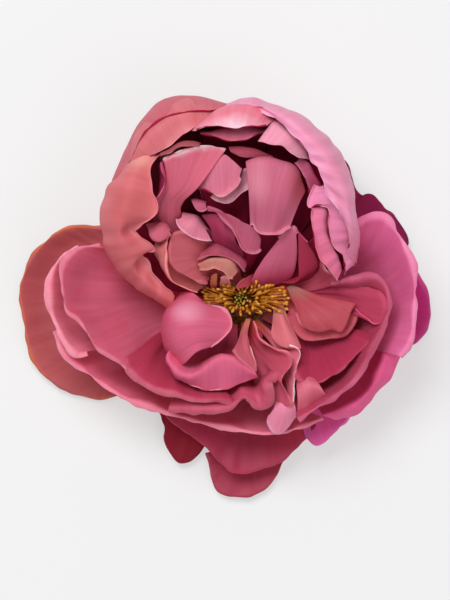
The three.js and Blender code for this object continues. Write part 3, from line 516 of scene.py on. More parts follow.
makePetal({"node": "mauve_fold", "name": "mauve_tab", "seed": 20, "lip": 0.3, "ruffle": 0.2,
    "body": (192, 93, 121), "rim": (220, 127, 151), "foot": (117, 24, 53), "rows": [
    [(-9.6, 26.4, 14), (-13, 27, 14)],
    [(-10, 26, 19), (-13.9, 27.2, 19)],
    [(-9.8, 24.8, 19), (-10.5, 24, 19.2), (-12, 24, 19.4), (-12.9, 25, 19.6), (-13.6, 26.6, 19.6)],
]})
makePetal({"node": "cheek_petal", "seed": 21,
    "body": (202, 99, 110), "rim": (216, 128, 137), "foot": (209, 72, 93), "rows": [
    foot(138, 12, 6, -1.6),
    [(-8.8, 16, 9), (-12, 12.6, 11), (-11.6, 8.6, 10.4), (-9.4, 5.4, 8)],
    [(-13, 17.6, 15.4), (-18.6, 17.6, 17.4), (-19.4, 14, 17.8), (-19.4, 11, 17.4),
     (-18, 8.6, 16.6), (-15.4, 6.8, 15), (-12, 5.4, 13), (-9.4, 4.9, 11)],
]})
makePetal({"node": "cheek_rim", "seed": 22,
    "body": (247, 131, 134), "rim": (248, 149, 154), "foot": (197, 72, 88), "rows": [
    foot(150, 16, 6.6, -2.2),
    [(-13, 14.5, 6), (-15.5, 9.5, 7), (-11, 3, 4)],
    [(-23.4, 16.6, 13), (-24, 13, 13.4), (-22.4, 9.4, 13), (-18.4, 5, 11.6), (-12.6, 2, 9)],
    [(-19.6, 18, 18.6), (-20.2, 15, 19), (-20.6, 11, 19), (-20.2, 8, 18.2), (-19.2, 5.8, 17.2),
     (-17, 4.2, 16), (-14, 2.8, 14.4), (-12, 2.4, 13)],
]})
makePetal({"node": "tile_petal", "seed": 23, "shadedSide": domeUndersideShade,
    "body": (226, 120, 145), "rim": (228, 146, 162), "foot": (163, 50, 82), "rows": [
    foot(101, 10, 6.6, -2),
    [(-3, 30, 16), (-8, 31, 17), (-11.6, 29, 16)],
    [(-0.2, 35.2, 26), (-2.6, 37.8, 27), (-5, 39.2, 27.4), (-8, 37.4, 26.4), (-11.6, 33.4, 23)],
    [(-0.9, 33, 25.4), (-2, 31.4, 25), (-4, 30, 24.4), (-5.5, 28.4, 23.8), (-7.5, 28.2, 23),
     (-9.5, 29.4, 22.2), (-12, 30.2, 21.4)],
]})
makePetal({"node": "tile_lip", "seed": 24, "shadedSide": domeUndersideShade,
    "body": (206, 128, 148), "rim": (232, 164, 180), "foot": (150, 50, 80), "rows": [
    foot(96, 10, 6.2, -2),
    [(1.6, 29, 12), (-4, 26, 13)],
    [(0.4, 35.4, 24), (-3, 31.6, 22.6), (-8, 29.4, 20.6)],
    [(2.2, 34.4, 23.4), (1.9, 32.8, 23.2), (1, 31.4, 22.8), (-0.5, 30, 22.6), (-1.5, 28, 22),
     (-3, 26.2, 21.4), (-4.5, 25.8, 21), (-6, 26.5, 20.6), (-8.4, 28.2, 20)],
]})
makePetal({"node": "knuckle_lip", "seed": 25,
    "body": (231, 132, 155), "rim": (247, 180, 198), "foot": (163, 59, 88), "rows": [
    foot(122, 12, 6.4, -1.8),
    [(-8.8, 19, 11), (-12, 22.4, 12.4), (-16, 24, 12)],
    [(-9.6, 18.8, 14.6), (-12.6, 20.6, 16.8), (-16.8, 21.8, 16.2)],
    [(-8.6, 16.8, 14), (-11.5, 16.9, 15.4), (-14, 17.3, 16.2), (-16.3, 18.5, 16.2),
     (-17.6, 20.2, 15.8), (-17.9, 21.8, 15.2)],
]})
# its near-white rim is a painted highlight along the edge
makePetal({"node": "back_petal", "seed": 26,
    "body": (220, 103, 126), "rim": (247, 247, 247), "foot": (160, 43, 72), "rows": [
    foot(116, 18, 7, -2.6),
    [(-16.4, 23, 13), (-18.6, 21, 13.6), (-21.4, 20.2, 13), (-23.8, 21.4, 12)],
    [(-16, 26.3, 19), (-19.5, 26.4, 19), (-23.6, 25.4, 17.6)],
    [(-12, 30, 24.4), (-16, 31, 23.4), (-20.6, 31.4, 22)],
    [(-5, 39.4, 27.6), (-8, 40.8, 27.8), (-11, 40.8, 27.8), (-14, 40, 27.4), (-17.6, 38.6, 26.8),
     (-21, 36.6, 25.6)],
]})
makePetal({"node": "back_petal", "name": "back_strip", "seed": 27, "lip": 0.3, "ruffle": 0.2,
    "body": (163, 76, 85), "rim": (177, 98, 101), "foot": (130, 41, 56), "rows": [
    [(-8, 38, 16), (-15, 36, 16), (-22, 34, 16)],
    [(-11.4, 41.6, 27.4), (-13, 42.4, 27.6), (-16, 42.3, 27.4), (-19, 40.6, 27), (-22.4, 38.9, 26)],
    [(-11.6, 41, 28.4), (-13.4, 41.2, 28.6), (-16, 40.9, 28.4), (-19, 39.4, 28), (-22, 38.2, 27)],
]})
makePetal({"node": "back_petal", "name": "back_strip_low", "seed": 28, "lip": 0.3, "ruffle": 0.2,
    "body": (247, 142, 159), "rim": (247, 183, 186), "foot": (138, 28, 60), "rows": [
    [(-9, 37, 16), (-15, 35, 16), (-21, 33, 16)],
    [(-12.6, 41, 26.6), (-15, 40.6, 26.8), (-18, 39.2, 26.4), (-21.6, 37.4, 25.4)],
    [(-13, 40.4, 27.8), (-15.4, 39.8, 27.8), (-18.2, 38.5, 27.4), (-21.2, 36.8, 26.4)],
]})
makePetal({"node": "back_petal", "name": "side_edge", "seed": 29, "lip": 0.6, "ruffle": 0.2,
    "body": (190, 60, 100), "rim": (236, 140, 165), "foot": (140, 10, 50), "rows": [
    [(-23, 34, 14), (-22.6, 27, 13)],
    [(-22.8, 36.4, 22), (-21.8, 31, 21), (-24, 26, 20)],
    [(-21.9, 36.8, 25.6), (-21.4, 34.6, 25.6), (-20.6, 32, 25), (-20.9, 30, 24.4),
     (-22, 28, 23.6), (-23.8, 26, 22.8)],
]})
makePetal({"node": "right_frill", "seed": 30, "ruffle": 0.8, "shadedSide": domeUndersideShade,
    "body": (247, 140, 180), "rim": (248, 156, 187), "foot": (247, 29, 69), "rows": [
    foot(32, 16, 7.6, -3.4),
    [(29, 8.6, 6), (30, 16, 9), (26, 24, 12), (20, 30, 12)],
    [(28.6, 9, 14), (30, 15, 20), (28.4, 20.6, 25), (25, 25.8, 28.4), (21.6, 30.4, 29)],
    [(27, 7.2, 12.6), (26.8, 12, 18), (24, 16, 22), (22.6, 20, 24.4), (23, 24.6, 26.4),
     (20, 25.4, 26.8), (18, 24.6, 26), (18, 27, 26.4), (20, 30.4, 27.4)],
]})
makePetal({"node": "right_frill", "name": "inner_frill", "seed": 31, "lip": 0.8, "ruffle": 0.2,
    "shadedSide": domeUndersideShade,
    "body": (247, 125, 162), "rim": (242, 149, 169), "foot": (247, 63, 127), "rows": [
    foot(30, 14, 7.4, -3),
    [(25, 6, 7), (22, 12, 10), (20, 18, 12)],
    [(26.6, 8, 13), (25.6, 11.6, 17), (23, 16, 21), (22, 20, 23), (22.4, 24.6, 25)],
    [(25.6, 5.4, 12), (22.4, 9.6, 17), (20.6, 12.4, 19), (19.4, 16, 22), (18.6, 20, 24),
     (18.5, 23, 25), (18.9, 24.6, 25.6)],
]})
makePetal({"node": "corner_frill", "seed": 32, "shadedSide": domeUndersideShade,
    "body": (178, 64, 104), "rim": (222, 122, 152), "foot": (120, 24, 56), "rows": [
    foot(56, 7, 7.2, -3),
    [(18.4, 22, 10), (13.6, 27, 10)],
    [(18.8, 26.6, 23), (20.6, 30.4, 25.6), (18.8, 33.6, 26.6), (17.5, 36.6, 27), (15.4, 38.4, 26.6)],
    [(17.8, 27.4, 23), (17.4, 30.4, 24.6), (16, 34.2, 25.6), (15.2, 35.2, 25.6), (14.2, 37, 25.4)],
]})
makePetal({"node": "dusk_petal", "seed": 33,
    "body": (195, 82, 104), "rim": (246, 167, 178), "foot": (208, 49, 45), "rows": [
    foot(17, 10, 7.2, -2.4),
    [(20, 2.6, 3.4), (19.4, 7, 5)],
    [(25.6, 4.4, 9), (24, 6.6, 12.4), (21.6, 8.2, 14.4), (20.8, 11.4, 16)],
]})
makePetal({"node": "right_ruffle", "seed": 34,
    "body": (184, 63, 93), "rim": (240, 88, 140), "foot": (166, 45, 71), "rows": [
    foot(352, 12, 6.8, -3),
    [(20, -2.6, 2.6), (23, 1, 3.4), (19, 3, 3)],
    [(30, -2.4, 8.6), (34, -5.6, 11.6), (36.4, -6.4, 13), (37.8, -3, 13.2), (36.6, 1.6, 12.6),
     (33, 3.6, 11)],
]})
makePetal({"node": "right_face", "seed": 35,
    "body": (180, 53, 85), "rim": (200, 93, 118), "foot": (144, 29, 56), "rows": [
    foot(328, 14, 7, -2.6),
    [(13, -9.5, 1), (19, -11, 1), (24, -6, 1.4)],
    [(15.6, -15, 8), (14.5, -18, 9.4), (15.6, -21, 11), (19, -22.5, 11.6), (24, -20, 11.6),
     (28, -17, 11.6), (32, -13, 11), (36, -9, 10)],
]})
makePetal({"node": "curl_warm", "seed": 36, "lip": 0.8,
    "body": (227, 111, 132), "rim": (247, 156, 168), "foot": (146, 20, 54), "rows": [
    foot(302, 8, 7.4, -4),
    [(12.6, -17, 0), (16, -16, 0)],
    [(14.6, -25, 11.6), (16, -23.8, 12.4), (18.5, -22.8, 13), (20, -23, 12.6), (21.6, -24.5, 12)],
    [(14.6, -31.3, 7), (17, -30.4, 7.4), (20, -28.5, 7.6), (23.5, -26.2, 8.4)],
]})
makePetal({"node": "curl_light", "seed": 37, "lip": 0.8,
    "body": (244, 136, 167), "rim": (247, 185, 208), "foot": (161, 32, 67), "rows": [
    foot(288, 9, 7.8, -4.6),
    [(6.6, -20, -2), (10.4, -19, -2)],
    [(8.4, -28.6, 10), (11, -28, 10.8), (14.2, -28.8, 10)],
    [(7.2, -31, 8.4), (7.1, -33.3, 7), (9.5, -35.6, 6), (12, -34, 6.2), (14.6, -31.6, 7.2)],
]})
makePetal({"node": "rolled_petal", "seed": 38, "lip": 2.2,
    "body": (196, 82, 108), "rim": (194, 92, 113), "foot": (115, 13, 39), "rows": [
    foot(256, 24, 7.8, -4.4),
    [(-13, -18, -3), (-2, -20, -5), (7, -15, -3)],
    [(-19, -26.6, 6), (-12, -27, 8), (-4, -26.6, 9), (0, -24, 11), (4, -25.4, 10.4),
     (6.6, -20.6, 11), (11.4, -16.6, 9)],
    [(-20, -28.7, 8), (-12, -28.9, 10), (-4, -28.2, 11.4), (0, -25.4, 13), (2.8, -26.6, 12.6),
     (4.6, -28.6, 11.6), (6.2, -26, 12.6), (5.9, -22, 13), (8, -20, 12), (11.6, -17.2, 10)],
]})
makePetal({"node": "lower_left_cup", "seed": 39, "lip": 2.2,
    "body": (184, 63, 91), "rim": (203, 100, 123), "foot": (121, 13, 39), "rows": [
    foot(222, 24, 7.2, -3.8),
    [(-20, -7, -3), (-18, -14, -4.6), (-9, -17, -4)],
    [(-31, -15, 10), (-30.4, -17.6, 11), (-26, -21.8, 12), (-22, -23.7, 12.2), (-18, -24.3, 12.2),
     (-14, -25.8, 12), (-10, -26.2, 12), (-6, -26.2, 12), (-2.5, -27, 11)],
]})
# the crimson patch towards the centre is painted shade deep in the cup
makePetal({"node": "left_inner_cup", "seed": 40, "lip": 1.3, "patches": [
    ((-28, 4, 0), (9, 7, 12), (150, 34, 58), 0.7)],
    "body": (211, 103, 130), "rim": (222, 129, 151), "foot": (235, 12, 27), "rows": [
    foot(190, 32, 7.6, -4.4),
    [(-19, 9, -2), (-27, 0, -6.6), (-22, -11, -5)],
    [(-33, 13, 6), (-40.6, 7, 4), (-40, -2, 3.6), (-34, -9.6, 4), (-26, -15.4, 4.4)],
    [(-38, 14.2, 12), (-44, 13.4, 13.6), (-48, 9, 14.2), (-48, 3, 14.2), (-46.9, -3, 13.2),
     (-44, -4.8, 12.8), (-42, -8, 12.8), (-39.5, -12.2, 12.8), (-35, -15, 12.2), (-29.8, -19, 11)],
]})
makePetal({"node": "right_inner_cup", "seed": 41, "lip": 1.8,
    "body": (173, 68, 96), "rim": (201, 95, 129), "foot": (138, 37, 63), "rows": [
    foot(335, 30, 7.8, -4.6),
    [(10, -17, -4), (20, -15, -6), (24, -5, -5.4), (19, 2, -3)],
    [(14, -27, 4), (24, -21, 3), (31, -10, 3), (33, -1, 3.4), (27, 3, 4)],
    [(14.6, -31.8, 11), (20, -28.2, 12), (23.7, -26, 12.5), (27, -23.3, 13), (30.2, -20.2, 13),
     (34, -13, 13), (37.6, -6, 13), (38.7, 0, 13.2), (36.4, 5, 12.6), (30, 4.8, 11), (24, 3.6, 9)],
]})
makePetal({"node": "left_outer_cup", "seed": 42, "lip": 1.6,
    "body": (239, 131, 153), "rim": (243, 149, 167), "foot": (166, 56, 84), "rows": [
    foot(190, 26, 8.2, -5.6),
    [(-26, 11, -7), (-31, -2, -9.6), (-27, -13, -8.4)],
    [(-41.6, 13, 1), (-46, 3, -1), (-44.6, -8, -1.4), (-38, -13.6, -1)],
    [(-44, 14, 7.6), (-49, 10.8, 8.8), (-51.6, 5, 9), (-51.7, -1, 8.6), (-50.5, -5, 8),
     (-47.7, -11, 7.4), (-44.7, -14.4, 7), (-42, -13.8, 6.4)],
]})
# the dark crimson patch low in the cup is painted shade
makePetal({"node": "right_outer_cup", "seed": 43, "lip": 2.2, "patches": [
    ((34, 2, 4), (8, 9, 10), (150, 16, 62), 0.7)],
    "body": (228, 112, 160), "rim": (235, 136, 172), "foot": (168, 27, 85), "rows": [
    foot(0, 26, 8.2, -5.6),
    [(27, -11, -6), (30, 2, -8), (23, 12, -5)],
    [(36.6, -13.6, 4), (40.6, 0, 2), (37, 12.6, 4), (29, 16.6, 6)],
    [(41.5, -15, 11.6), (43.2, -12.8, 12), (44.8, -9, 12.4), (45.3, -4, 12.8), (45.4, 4, 13),
     (45, 9, 13), (42, 15.5, 13.2), (38, 21.3, 13), (34, 21.3, 12.6), (30.4, 18.9, 12)],
]})
makePetal({"node": "lower_right_cup", "seed": 44, "lip": 0.8,
    "body": (233, 91, 144), "rim": (247, 138, 186), "foot": (159, 20, 66), "rows": [
    foot(316, 20, 8.6, -6.4),
    [(15, -20, -9), (24, -17, -10.4), (29, -9, -8.6)],
    [(20, -28.6, -2), (29, -25, -3), (34, -18, -3), (36.8, -11, -2)],
    [(22, -31.4, 4.6), (30, -28.4, 5.6), (35, -23.6, 6), (37.8, -17, 6), (39.4, -13, 5)],
    [(25, -33, 2), (31, -31, 2), (36, -26, 2.2), (40.6, -20, 2.4), (43, -13.6, 2.6)],
]})
# the dark patch on its left is painted shade under the petals above it
makePetal({"node": "great_cup", "seed": 45, "lip": 1.6, "patches": [
    ((-30, -18, -4), (16, 10, 8), (120, 8, 34), 0.5)],
    "body": (235, 117, 143), "rim": (240, 139, 160), "foot": (152, 26, 71), "rows": [
    foot(246, 44, 8.4, -6.6),
    [(-25, -7, -10.6), (-20, -20, -12.6), (0, -25.6, -13.6), (16, -21, -10.4)],
    [(-44, -9, -5), (-34, -20, -6), (-20, -26, -7), (0, -31, -7), (17, -29, -4.4)],
    [(-50.4, -8.2, 2), (-48.2, -13.8, 3), (-40, -20.7, 3.2), (-32, -26, 3.2), (-24.5, -28.5, 3.2),
     (-14, -31.9, 3), (-4, -34.1, 3), (6, -35.7, 3), (14, -34.5, 3), (21.4, -31.6, 2.8)],
]})
makePetal({"node": "dome_layer", "seed": 46, "shadedSide": domeUndersideShade,
    "body": (204, 92, 122), "rim": (230, 136, 158), "foot": (130, 20, 56), "rows": [
    foot(96, 12, 7.8, -4),
    [(6, 40, 10), (-1, 42, 11), (-10, 39, 10)],
    [(7, 45, 25), (-1, 46.4, 27), (-11.4, 44.6, 24.6)],
    [(6, 44.6, 28.4), (2, 42.8, 29), (-1, 42.4, 29), (-4, 42.8, 29), (-8, 43.8, 28), (-11.6, 44, 26.4)],
]})
makePetal({"node": "dome_notch", "seed": 47, "shadedSide": domeUndersideShade,
    "body": (247, 152, 178), "rim": (240, 158, 180), "foot": (132, 25, 57), "rows": [
    foot(68, 10, 7.9, -4),
    [(18, 33, 10), (12, 41, 11), (7, 43, 11)],
    [(17.2, 37.4, 28), (15.6, 41, 30), (13, 44, 31), (10, 46.6, 30.4), (7.8, 47.4, 29)],
    [(15.6, 37.6, 29), (12, 39.8, 30.6), (10, 41.2, 31), (7, 41.6, 31), (4, 42.2, 30)],
]})
# its very pale rim is a painted highlight along the edge
makePetal({"node": "dome_centre", "seed": 48, "shadedSide": domeUndersideShade,
    "body": (234, 124, 143), "rim": (247, 207, 223), "foot": (128, 22, 51), "rows": [
    foot(98, 16, 8.2, -4.6),
    [(9, 46, 9), (0, 49, 11), (-12, 44.6, 9)],
    [(8.6, 48, 28), (4, 50.6, 30), (0, 51.2, 31), (-5, 50.5, 30), (-8, 49.2, 29), (-13.8, 44.9, 26)],
    [(6.3, 46.2, 32), (0, 45.8, 33), (-4, 45.8, 33), (-8, 46, 32), (-12.6, 44.8, 29)],
]})
makePetal({"node": "coral_petal", "seed": 49, "lip": 1.2, "ruffle": 0.8, "shadedSide": domeUndersideShade, "patches": [
    ((-27.5, 37.6, 24), (6, 5, 8), (236, 160, 148), 0.75),
    ((-31, 25.5, 28), (8, 6, 10), (176, 74, 72), 0.55)],
    "body": (217, 107, 113), "rim": (227, 132, 138), "foot": (224, 77, 97), "rows": [
    foot(150, 26, 8.4, -5),
    [(-22, 31, 4), (-32, 20, 5), (-22, 2, 2)],
    [(-28.8, 39, 12), (-33, 33, 13), (-36.4, 30, 14), (-38.4, 24, 14.4), (-38, 18, 14),
     (-37, 12.6, 13), (-34.4, 8.6, 12), (-30, 4, 10), (-25, 0.6, 8), (-20, -2.6, 7)],
    [(-26.4, 39.2, 24.6), (-30, 33, 28), (-32, 26, 29.4), (-33, 19, 28), (-31.6, 12.6, 23.6),
     (-29, 7.6, 18.6), (-24, 2.6, 14), (-19, -1, 10.6)],
    [(-22.6, 38.8, 24.6), (-25.6, 35, 25.8), (-25, 31, 26.4), (-24.4, 27.4, 26.4),
     (-23.5, 24, 26), (-24.6, 22.2, 25.4), (-27.6, 20.6, 24.6), (-30.8, 18.7, 23.6),
     (-28, 16.6, 22.4), (-24, 13.5, 20.4), (-27.2, 12.8, 19.6), (-28.2, 11, 18.4),
     (-26.6, 8.6, 16.4), (-24.6, 6, 14.6), (-22, 3.6, 13), (-18.4, 1.2, 11.4)],
]})
makePetal({"node": "left_curl", "seed": 50,
    "body": (206, 94, 116), "rim": (208, 113, 129), "foot": (158, 52, 75), "rows": [
    foot(140, 8, 8, -3.4),
    [(-19.4, 20, 10), (-18, 14.6, 10)],
    [(-24.4, 21, 19), (-21.6, 20.4, 20), (-19.6, 18.6, 20)],
    [(-26, 20.6, 19.4), (-25.4, 18.6, 20.4), (-24.4, 16.8, 20.6), (-22.8, 16.1, 20.6),
     (-21, 16.8, 20.2), (-19.5, 18.2, 19.6)],
]})
makePetal({"node": "crown_left", "seed": 51, "lip": 1.0, "shadedSide": domeUndersideShade, "pleat": 0.4,
    "body": (216, 110, 118), "rim": (234, 149, 155), "foot": (224, 79, 102), "rows": [
    foot(120, 20, 8.8, -5.6),
    [(-4, 42, 4), (-18, 42, 5), (-26, 30, 4)],
    [(-5, 51.6, 12), (-12, 53.9, 13), (-20, 53.4, 13), (-27, 46.8, 13), (-30.4, 40, 12),
     (-34, 31.6, 10)],
    [(-6.4, 51, 21), (-13, 51, 25.6), (-20, 48.6, 27), (-25, 44.6, 26.6), (-28.6, 38, 24),
     (-31.6, 31.6, 18)],
    [(-7.4, 49.8, 22.6), (-11, 47.6, 26), (-17, 43.8, 27), (-22, 39.8, 26), (-25.6, 38, 24),
     (-28.8, 31.6, 18)],
]})
makePetal({"node": "crown_left", "name": "crown_band", "seed": 52, "lip": 0.8, "ruffle": 0.2,
    "shadedSide": domeUndersideShade, "pleat": 0.3,
    "body": (206, 98, 112), "rim": (224, 122, 130), "foot": (150, 50, 70), "rows": [
    foot(122, 20, 9.4, -6.4),
    [(-4, 45, 1.6), (-18.4, 45, 2), (-28, 31.6, 1)],
    [(-4, 52.4, 12), (-12.2, 54.7, 13), (-20.5, 54.1, 13), (-27.8, 47.5, 13), (-31.5, 40.3, 12),
     (-35.4, 31.8, 10)],
    [(-4.4, 52, 20), (-12.5, 52, 24), (-20, 50.6, 25), (-25.6, 46.6, 24.4), (-29.6, 40, 21),
     (-33, 31.6, 16)],
    [(-4.4, 51, 21), (-12.5, 50.4, 25.6), (-20, 48.8, 26.6), (-25, 45.6, 26), (-29, 39, 23),
     (-32, 31.6, 17)],
]})
makePetal({"node": "crown_right", "seed": 53, "ruffle": 0.8, "shadedSide": domeUndersideShade,
    "body": (244, 149, 181), "rim": (247, 174, 211), "foot": (197, 74, 112), "rows": [
    foot(52, 30, 8.8, -5.6),
    [(24, 9, 2), (28, 24, 5), (14, 42, 5), (-3, 44, 4)],
    [(30.4, 9.4, 10), (31, 16, 13), (29.6, 28, 14), (27.4, 37, 14), (20, 45.4, 14), (11, 51, 14),
     (2, 53.8, 13), (-5, 52, 12)],
    [(28.4, 12.6, 22), (28.6, 22, 31), (26, 31, 34.6), (21, 39.6, 36), (13, 46.6, 35.6),
     (3, 51.6, 31), (-5, 51.2, 24)],
    [(28.6, 18.6, 27), (24, 27, 33), (21.8, 30.7, 34), (19.5, 35.2, 35), (17, 39, 35.6),
     (13, 44, 35), (9.4, 47.8, 33), (4, 51, 30), (-4, 51.2, 25)],
]})
makePetal({"node": "magenta_curl", "seed": 54,
    "body": (223, 94, 166), "rim": (242, 129, 195), "foot": (140, 14, 79), "rows": [
    foot(304, 10, 8.8, -7.4),
    [(14, -25, -10), (19, -25, -11), (23, -22, -10.6)],
    [(17, -37, -9), (20, -39.8, -7.6), (24, -37.5, -6.4), (27, -33.8, -5.8), (28.6, -31.6, -6),
     (29, -27, -7)],
]})
makePetal({"node": "low_front_guard", "seed": 55,
    "body": (162, 52, 80), "rim": (192, 60, 88), "foot": (131, 20, 47), "rows": [
    foot(266, 26, 9, -8.4),
    [(-16, -24, -13), (0, -28, -15), (16, -25, -13)],
    [(-24.5, -28.5, -8), (-18, -34, -9), (-10, -40.5, -10), (-5, -45.5, -11), (0, -47, -11.6),
     (5, -45.8, -11), (10.5, -44, -10), (16, -39, -9.4), (20, -34, -9)],
]})
makePetal({"node": "dark_guard", "seed": 56, "ragged": 1.0,
    "body": (118, 2, 31), "rim": (149, 40, 50), "foot": (85, 2, 15), "rows": [
    foot(236, 14, 9.2, -9.6),
    [(-18, -21, -14.6), (-13, -27, -16), (-7, -29, -16)],
    [(-24.5, -28.4, -14), (-21.5, -34.5, -15), (-20.5, -40, -16), (-17.3, -44.2, -16.6),
     (-14, -43.5, -17), (-11, -40.6, -17), (-8, -36, -17)],
]})
makePetal({"node": "front_guard", "seed": 57, "ruffle": 0.35,
    "body": (154, 50, 76), "rim": (167, 65, 83), "foot": (108, 9, 39), "rows": [
    foot(270, 18, 9.4, -10),
    [(-6, -30, -16.6), (0, -33, -17.4), (11, -29, -16)],
    [(-7, -41, -19), (0, -45, -19.5), (11, -39, -18.6)],
    [(-9.6, -42, -17.6), (-8.6, -46.6, -17.6), (-7, -51.8, -17.6), (-3, -53.6, -17.2),
     (3, -53.3, -17.2), (8, -50, -17.4), (10.6, -45, -17), (12.4, -40, -16.4)],
]})
makePetal({"node": "right_guard_low", "seed": 58, "ragged": 1.2, "ruffle": 0.5,
    "body": (188, 49, 128), "rim": (198, 77, 135), "foot": (109, 5, 58), "rows": [
    foot(348, 16, 9.4, -9.6),
    [(31, -14, -15), (35, -3, -16), (31, 6, -15)],
    [(39, -12, -18), (45.5, -2, -19.5), (41, 7, -18.6)],
    [(43.3, -12.8, -16.4), (47.5, -10.5, -17.4), (50.8, -6, -17.4), (51.3, -1, -17),
     (48.4, 5.4, -17), (46.5, 8.3, -17), (43, 8.8, -17)],
]})
makePetal({"node": "right_guard_high", "seed": 59, "ragged": 1.4, "ruffle": 0.5,
    "body": (110, 2, 60), "rim": (140, 14, 80), "foot": (69, 2, 34), "rows": [
    foot(36, 18, 9.4, -9),
    [(31, 7, -12.6), (29, 18, -14), (17, 27, -13)],
    [(42, 10, -14), (45.4, 14.5, -16), (45, 18, -17.4), (39, 25.5, -18.4), (35.5, 29.2, -17.6),
     (32, 28.7, -15), (30.8, 31, -15), (28.5, 37, -16), (26, 39.5, -16.4), (19, 38, -15)],
]})
makePetal({"node": "left_guard", "seed": 60, "lip": 1.0, "ruffle": 0.35,
    "body": (169, 85, 90), "rim": (200, 105, 70), "foot": (131, 41, 52), "rows": [
    foot(180, 24, 9.4, -9.4),
    [(-25, 13, -13), (-31, 0, -16), (-26, -17, -14.6)],
    [(-34, 17, -16), (-47, 14, -19), (-53, -1, -19.5), (-48, -16, -19.5), (-31, -24, -17.4)],
    [(-38, 19.4, -15), (-48, 19.6, -15), (-56, 13.8, -15), (-60.8, 4, -15.6), (-60.2, -4, -16),
     (-57, -17, -16.4), (-50, -23.5, -17), (-42, -26.8, -17.4), (-34, -26, -17.4)],
]})
makePetal({"node": "back_guard", "seed": 61, "ruffle": 0.5,
    "body": (150, 50, 66), "rim": (186, 90, 90), "foot": (110, 20, 40), "rows": [
    foot(106, 40, 9.4, -9.8),
    [(19, 24, -15), (4, 33, -16.6), (-14, 30, -16), (-27, 14, -15)],
    [(20, 36, -18), (4, 45, -19.5), (-18, 40, -19.5), (-31, 22, -18)],
    [(20, 41, -16), (12, 47, -16.4), (0, 50, -16.6), (-12, 49, -16.6), (-22, 43, -16.4),
     (-30, 34, -16), (-34, 24, -15.6)],
]})
print("petals made")


plantFinish = {
    "specular": 0.25, "glow": 0.1, "glowReach": (0.0012, 0.0012, 0.0005),
    "reliefStrength": 0.3, "reliefDepth": 0.0002,
}


def plantMaterial(look):
    # two colours clouded together, with fine relief
    material, shader = newFinish(look["name"], look["roughness"], plantFinish)
    nodes = material.node_tree.nodes
    links = material.node_tree.links
    place = nodes.new("ShaderNodeTexCoord")
    cloud = addNoise(material, place.outputs["Object"], look["grain"], 5)
    ramp = nodes.new("ShaderNodeValToRGB")
    ramp.color_ramp.elements[0].position = 0.38
    ramp.color_ramp.elements[0].color = paint(*look["dark"])
    ramp.color_ramp.elements[1].position = 0.62
    ramp.color_ramp.elements[1].color = paint(*look["light"])
    links.new(cloud.outputs["Fac"], ramp.inputs[0])
    links.new(ramp.outputs["Color"], shader.inputs["Base Color"])
    addRelief(material, cloud.outputs["Fac"], shader, plantFinish)
    return material


# the hip: a ring drawn up through the outline of stalk, hip and disc
hipLook = {"name": "hip", "roughness": 0.5, "grain": 420, "dark": (96, 104, 40), "light": (136, 146, 70),
    "outline": [(2.7, -20), (2.6, -17), (3.4, -16), (6.2, -15), (7.9, -13), (8.3, -11.5), (7.9, -9.8),
                (5.2, -8.4), (4.1, -7), (3.9, -4), (3.9, -2.4), (3.2, -1.7), (1.2, -1.4)],
    "discFrom": -10.6}
bottomRadius, bottomHeight = hipLook["outline"][0]
bpy.ops.mesh.primitive_circle_add(vertices=36, radius=bottomRadius * mm, fill_type="NGON",
    location=toFrame((0, 0, bottomHeight)))
hipSkin = bpy.context.object
hipSkin.name = "hip_skin"
bpy.ops.object.transform_apply(location=True, rotation=True, scale=True)
bpy.ops.object.mode_set(mode="EDIT")
bpy.ops.mesh.select_all(action="SELECT")
for (radius, height), (nextRadius, nextHeight) in zip(hipLook["outline"], hipLook["outline"][1:]):
    bpy.ops.mesh.extrude_region_move(TRANSFORM_OT_translate={"value": (0, 0, (nextHeight - height) * mm)})
    share = nextRadius / radius
    bpy.ops.transform.resize(value=(share, share, 1), center_override=toFrame((0, 0, nextHeight)))
bpy.ops.mesh.select_all(action="SELECT")
bpy.ops.mesh.normals_make_consistent(inside=False)
bpy.ops.object.mode_set(mode="OBJECT")
bpy.ops.object.shade_smooth()
hipSkin.data.materials.append(plantMaterial(hipLook))
discLook = {"name": "disc", "roughness": 0.5, "grain": 600, "dark": (120, 62, 10), "light": (196, 126, 44)}
hipSkin.data.materials.append(plantMaterial(discLook))
for polygon in hipSkin.data.polygons:
    if polygon.center.z > toFrame((0, 0, hipLook["discFrom"])).z:
        polygon.material_index = 1
standFor(hipSkin, "hip")


def turned(point, turn):
    # a point of the sepal that lies along +X, turned about the flower's axis
    distance, side, height = point
    return (distance * math.cos(turn) - side * math.sin(turn),
            distance * math.sin(turn) + side * math.cos(turn), height)


sepalLook = {"count": 5, "firstAngle": 18, "thickness": 0.6, "lip": 0, "ruffle": 0.3,
    "veinTint": (190, 205, 140), "veinCount": 9, "veins": 0.35,
    "body": (112, 142, 70), "rim": (136, 162, 92), "foot": (92, 118, 56), "rows": [
    [(7.6, -3.0, -10.6), (8.8, 0, -10.4), (7.6, 3.0, -10.6)],
    [(13, -3.4, -13.6), (14, 0, -13.9), (13, 3.4, -13.6)],
    [(20, -2.0, -17.2), (20, 0, -17.6), (20, 2.0, -17.2)],
    [(29.2, -0.4, -19.3), (29.2, 0, -19.3), (29.2, 0.4, -19.3)],
]}
for number in range(sepalLook["count"]):
    turn = math.radians(sepalLook["firstAngle"] + 360 // sepalLook["count"] * number)
    rows = [[turned(point, turn) for point in row] for row in sepalLook["rows"]]
    makePetal(dict(sepalLook, node=f"sepal_{number + 1}", seed=70 + number, rows=rows))
print("hip and sepals made")


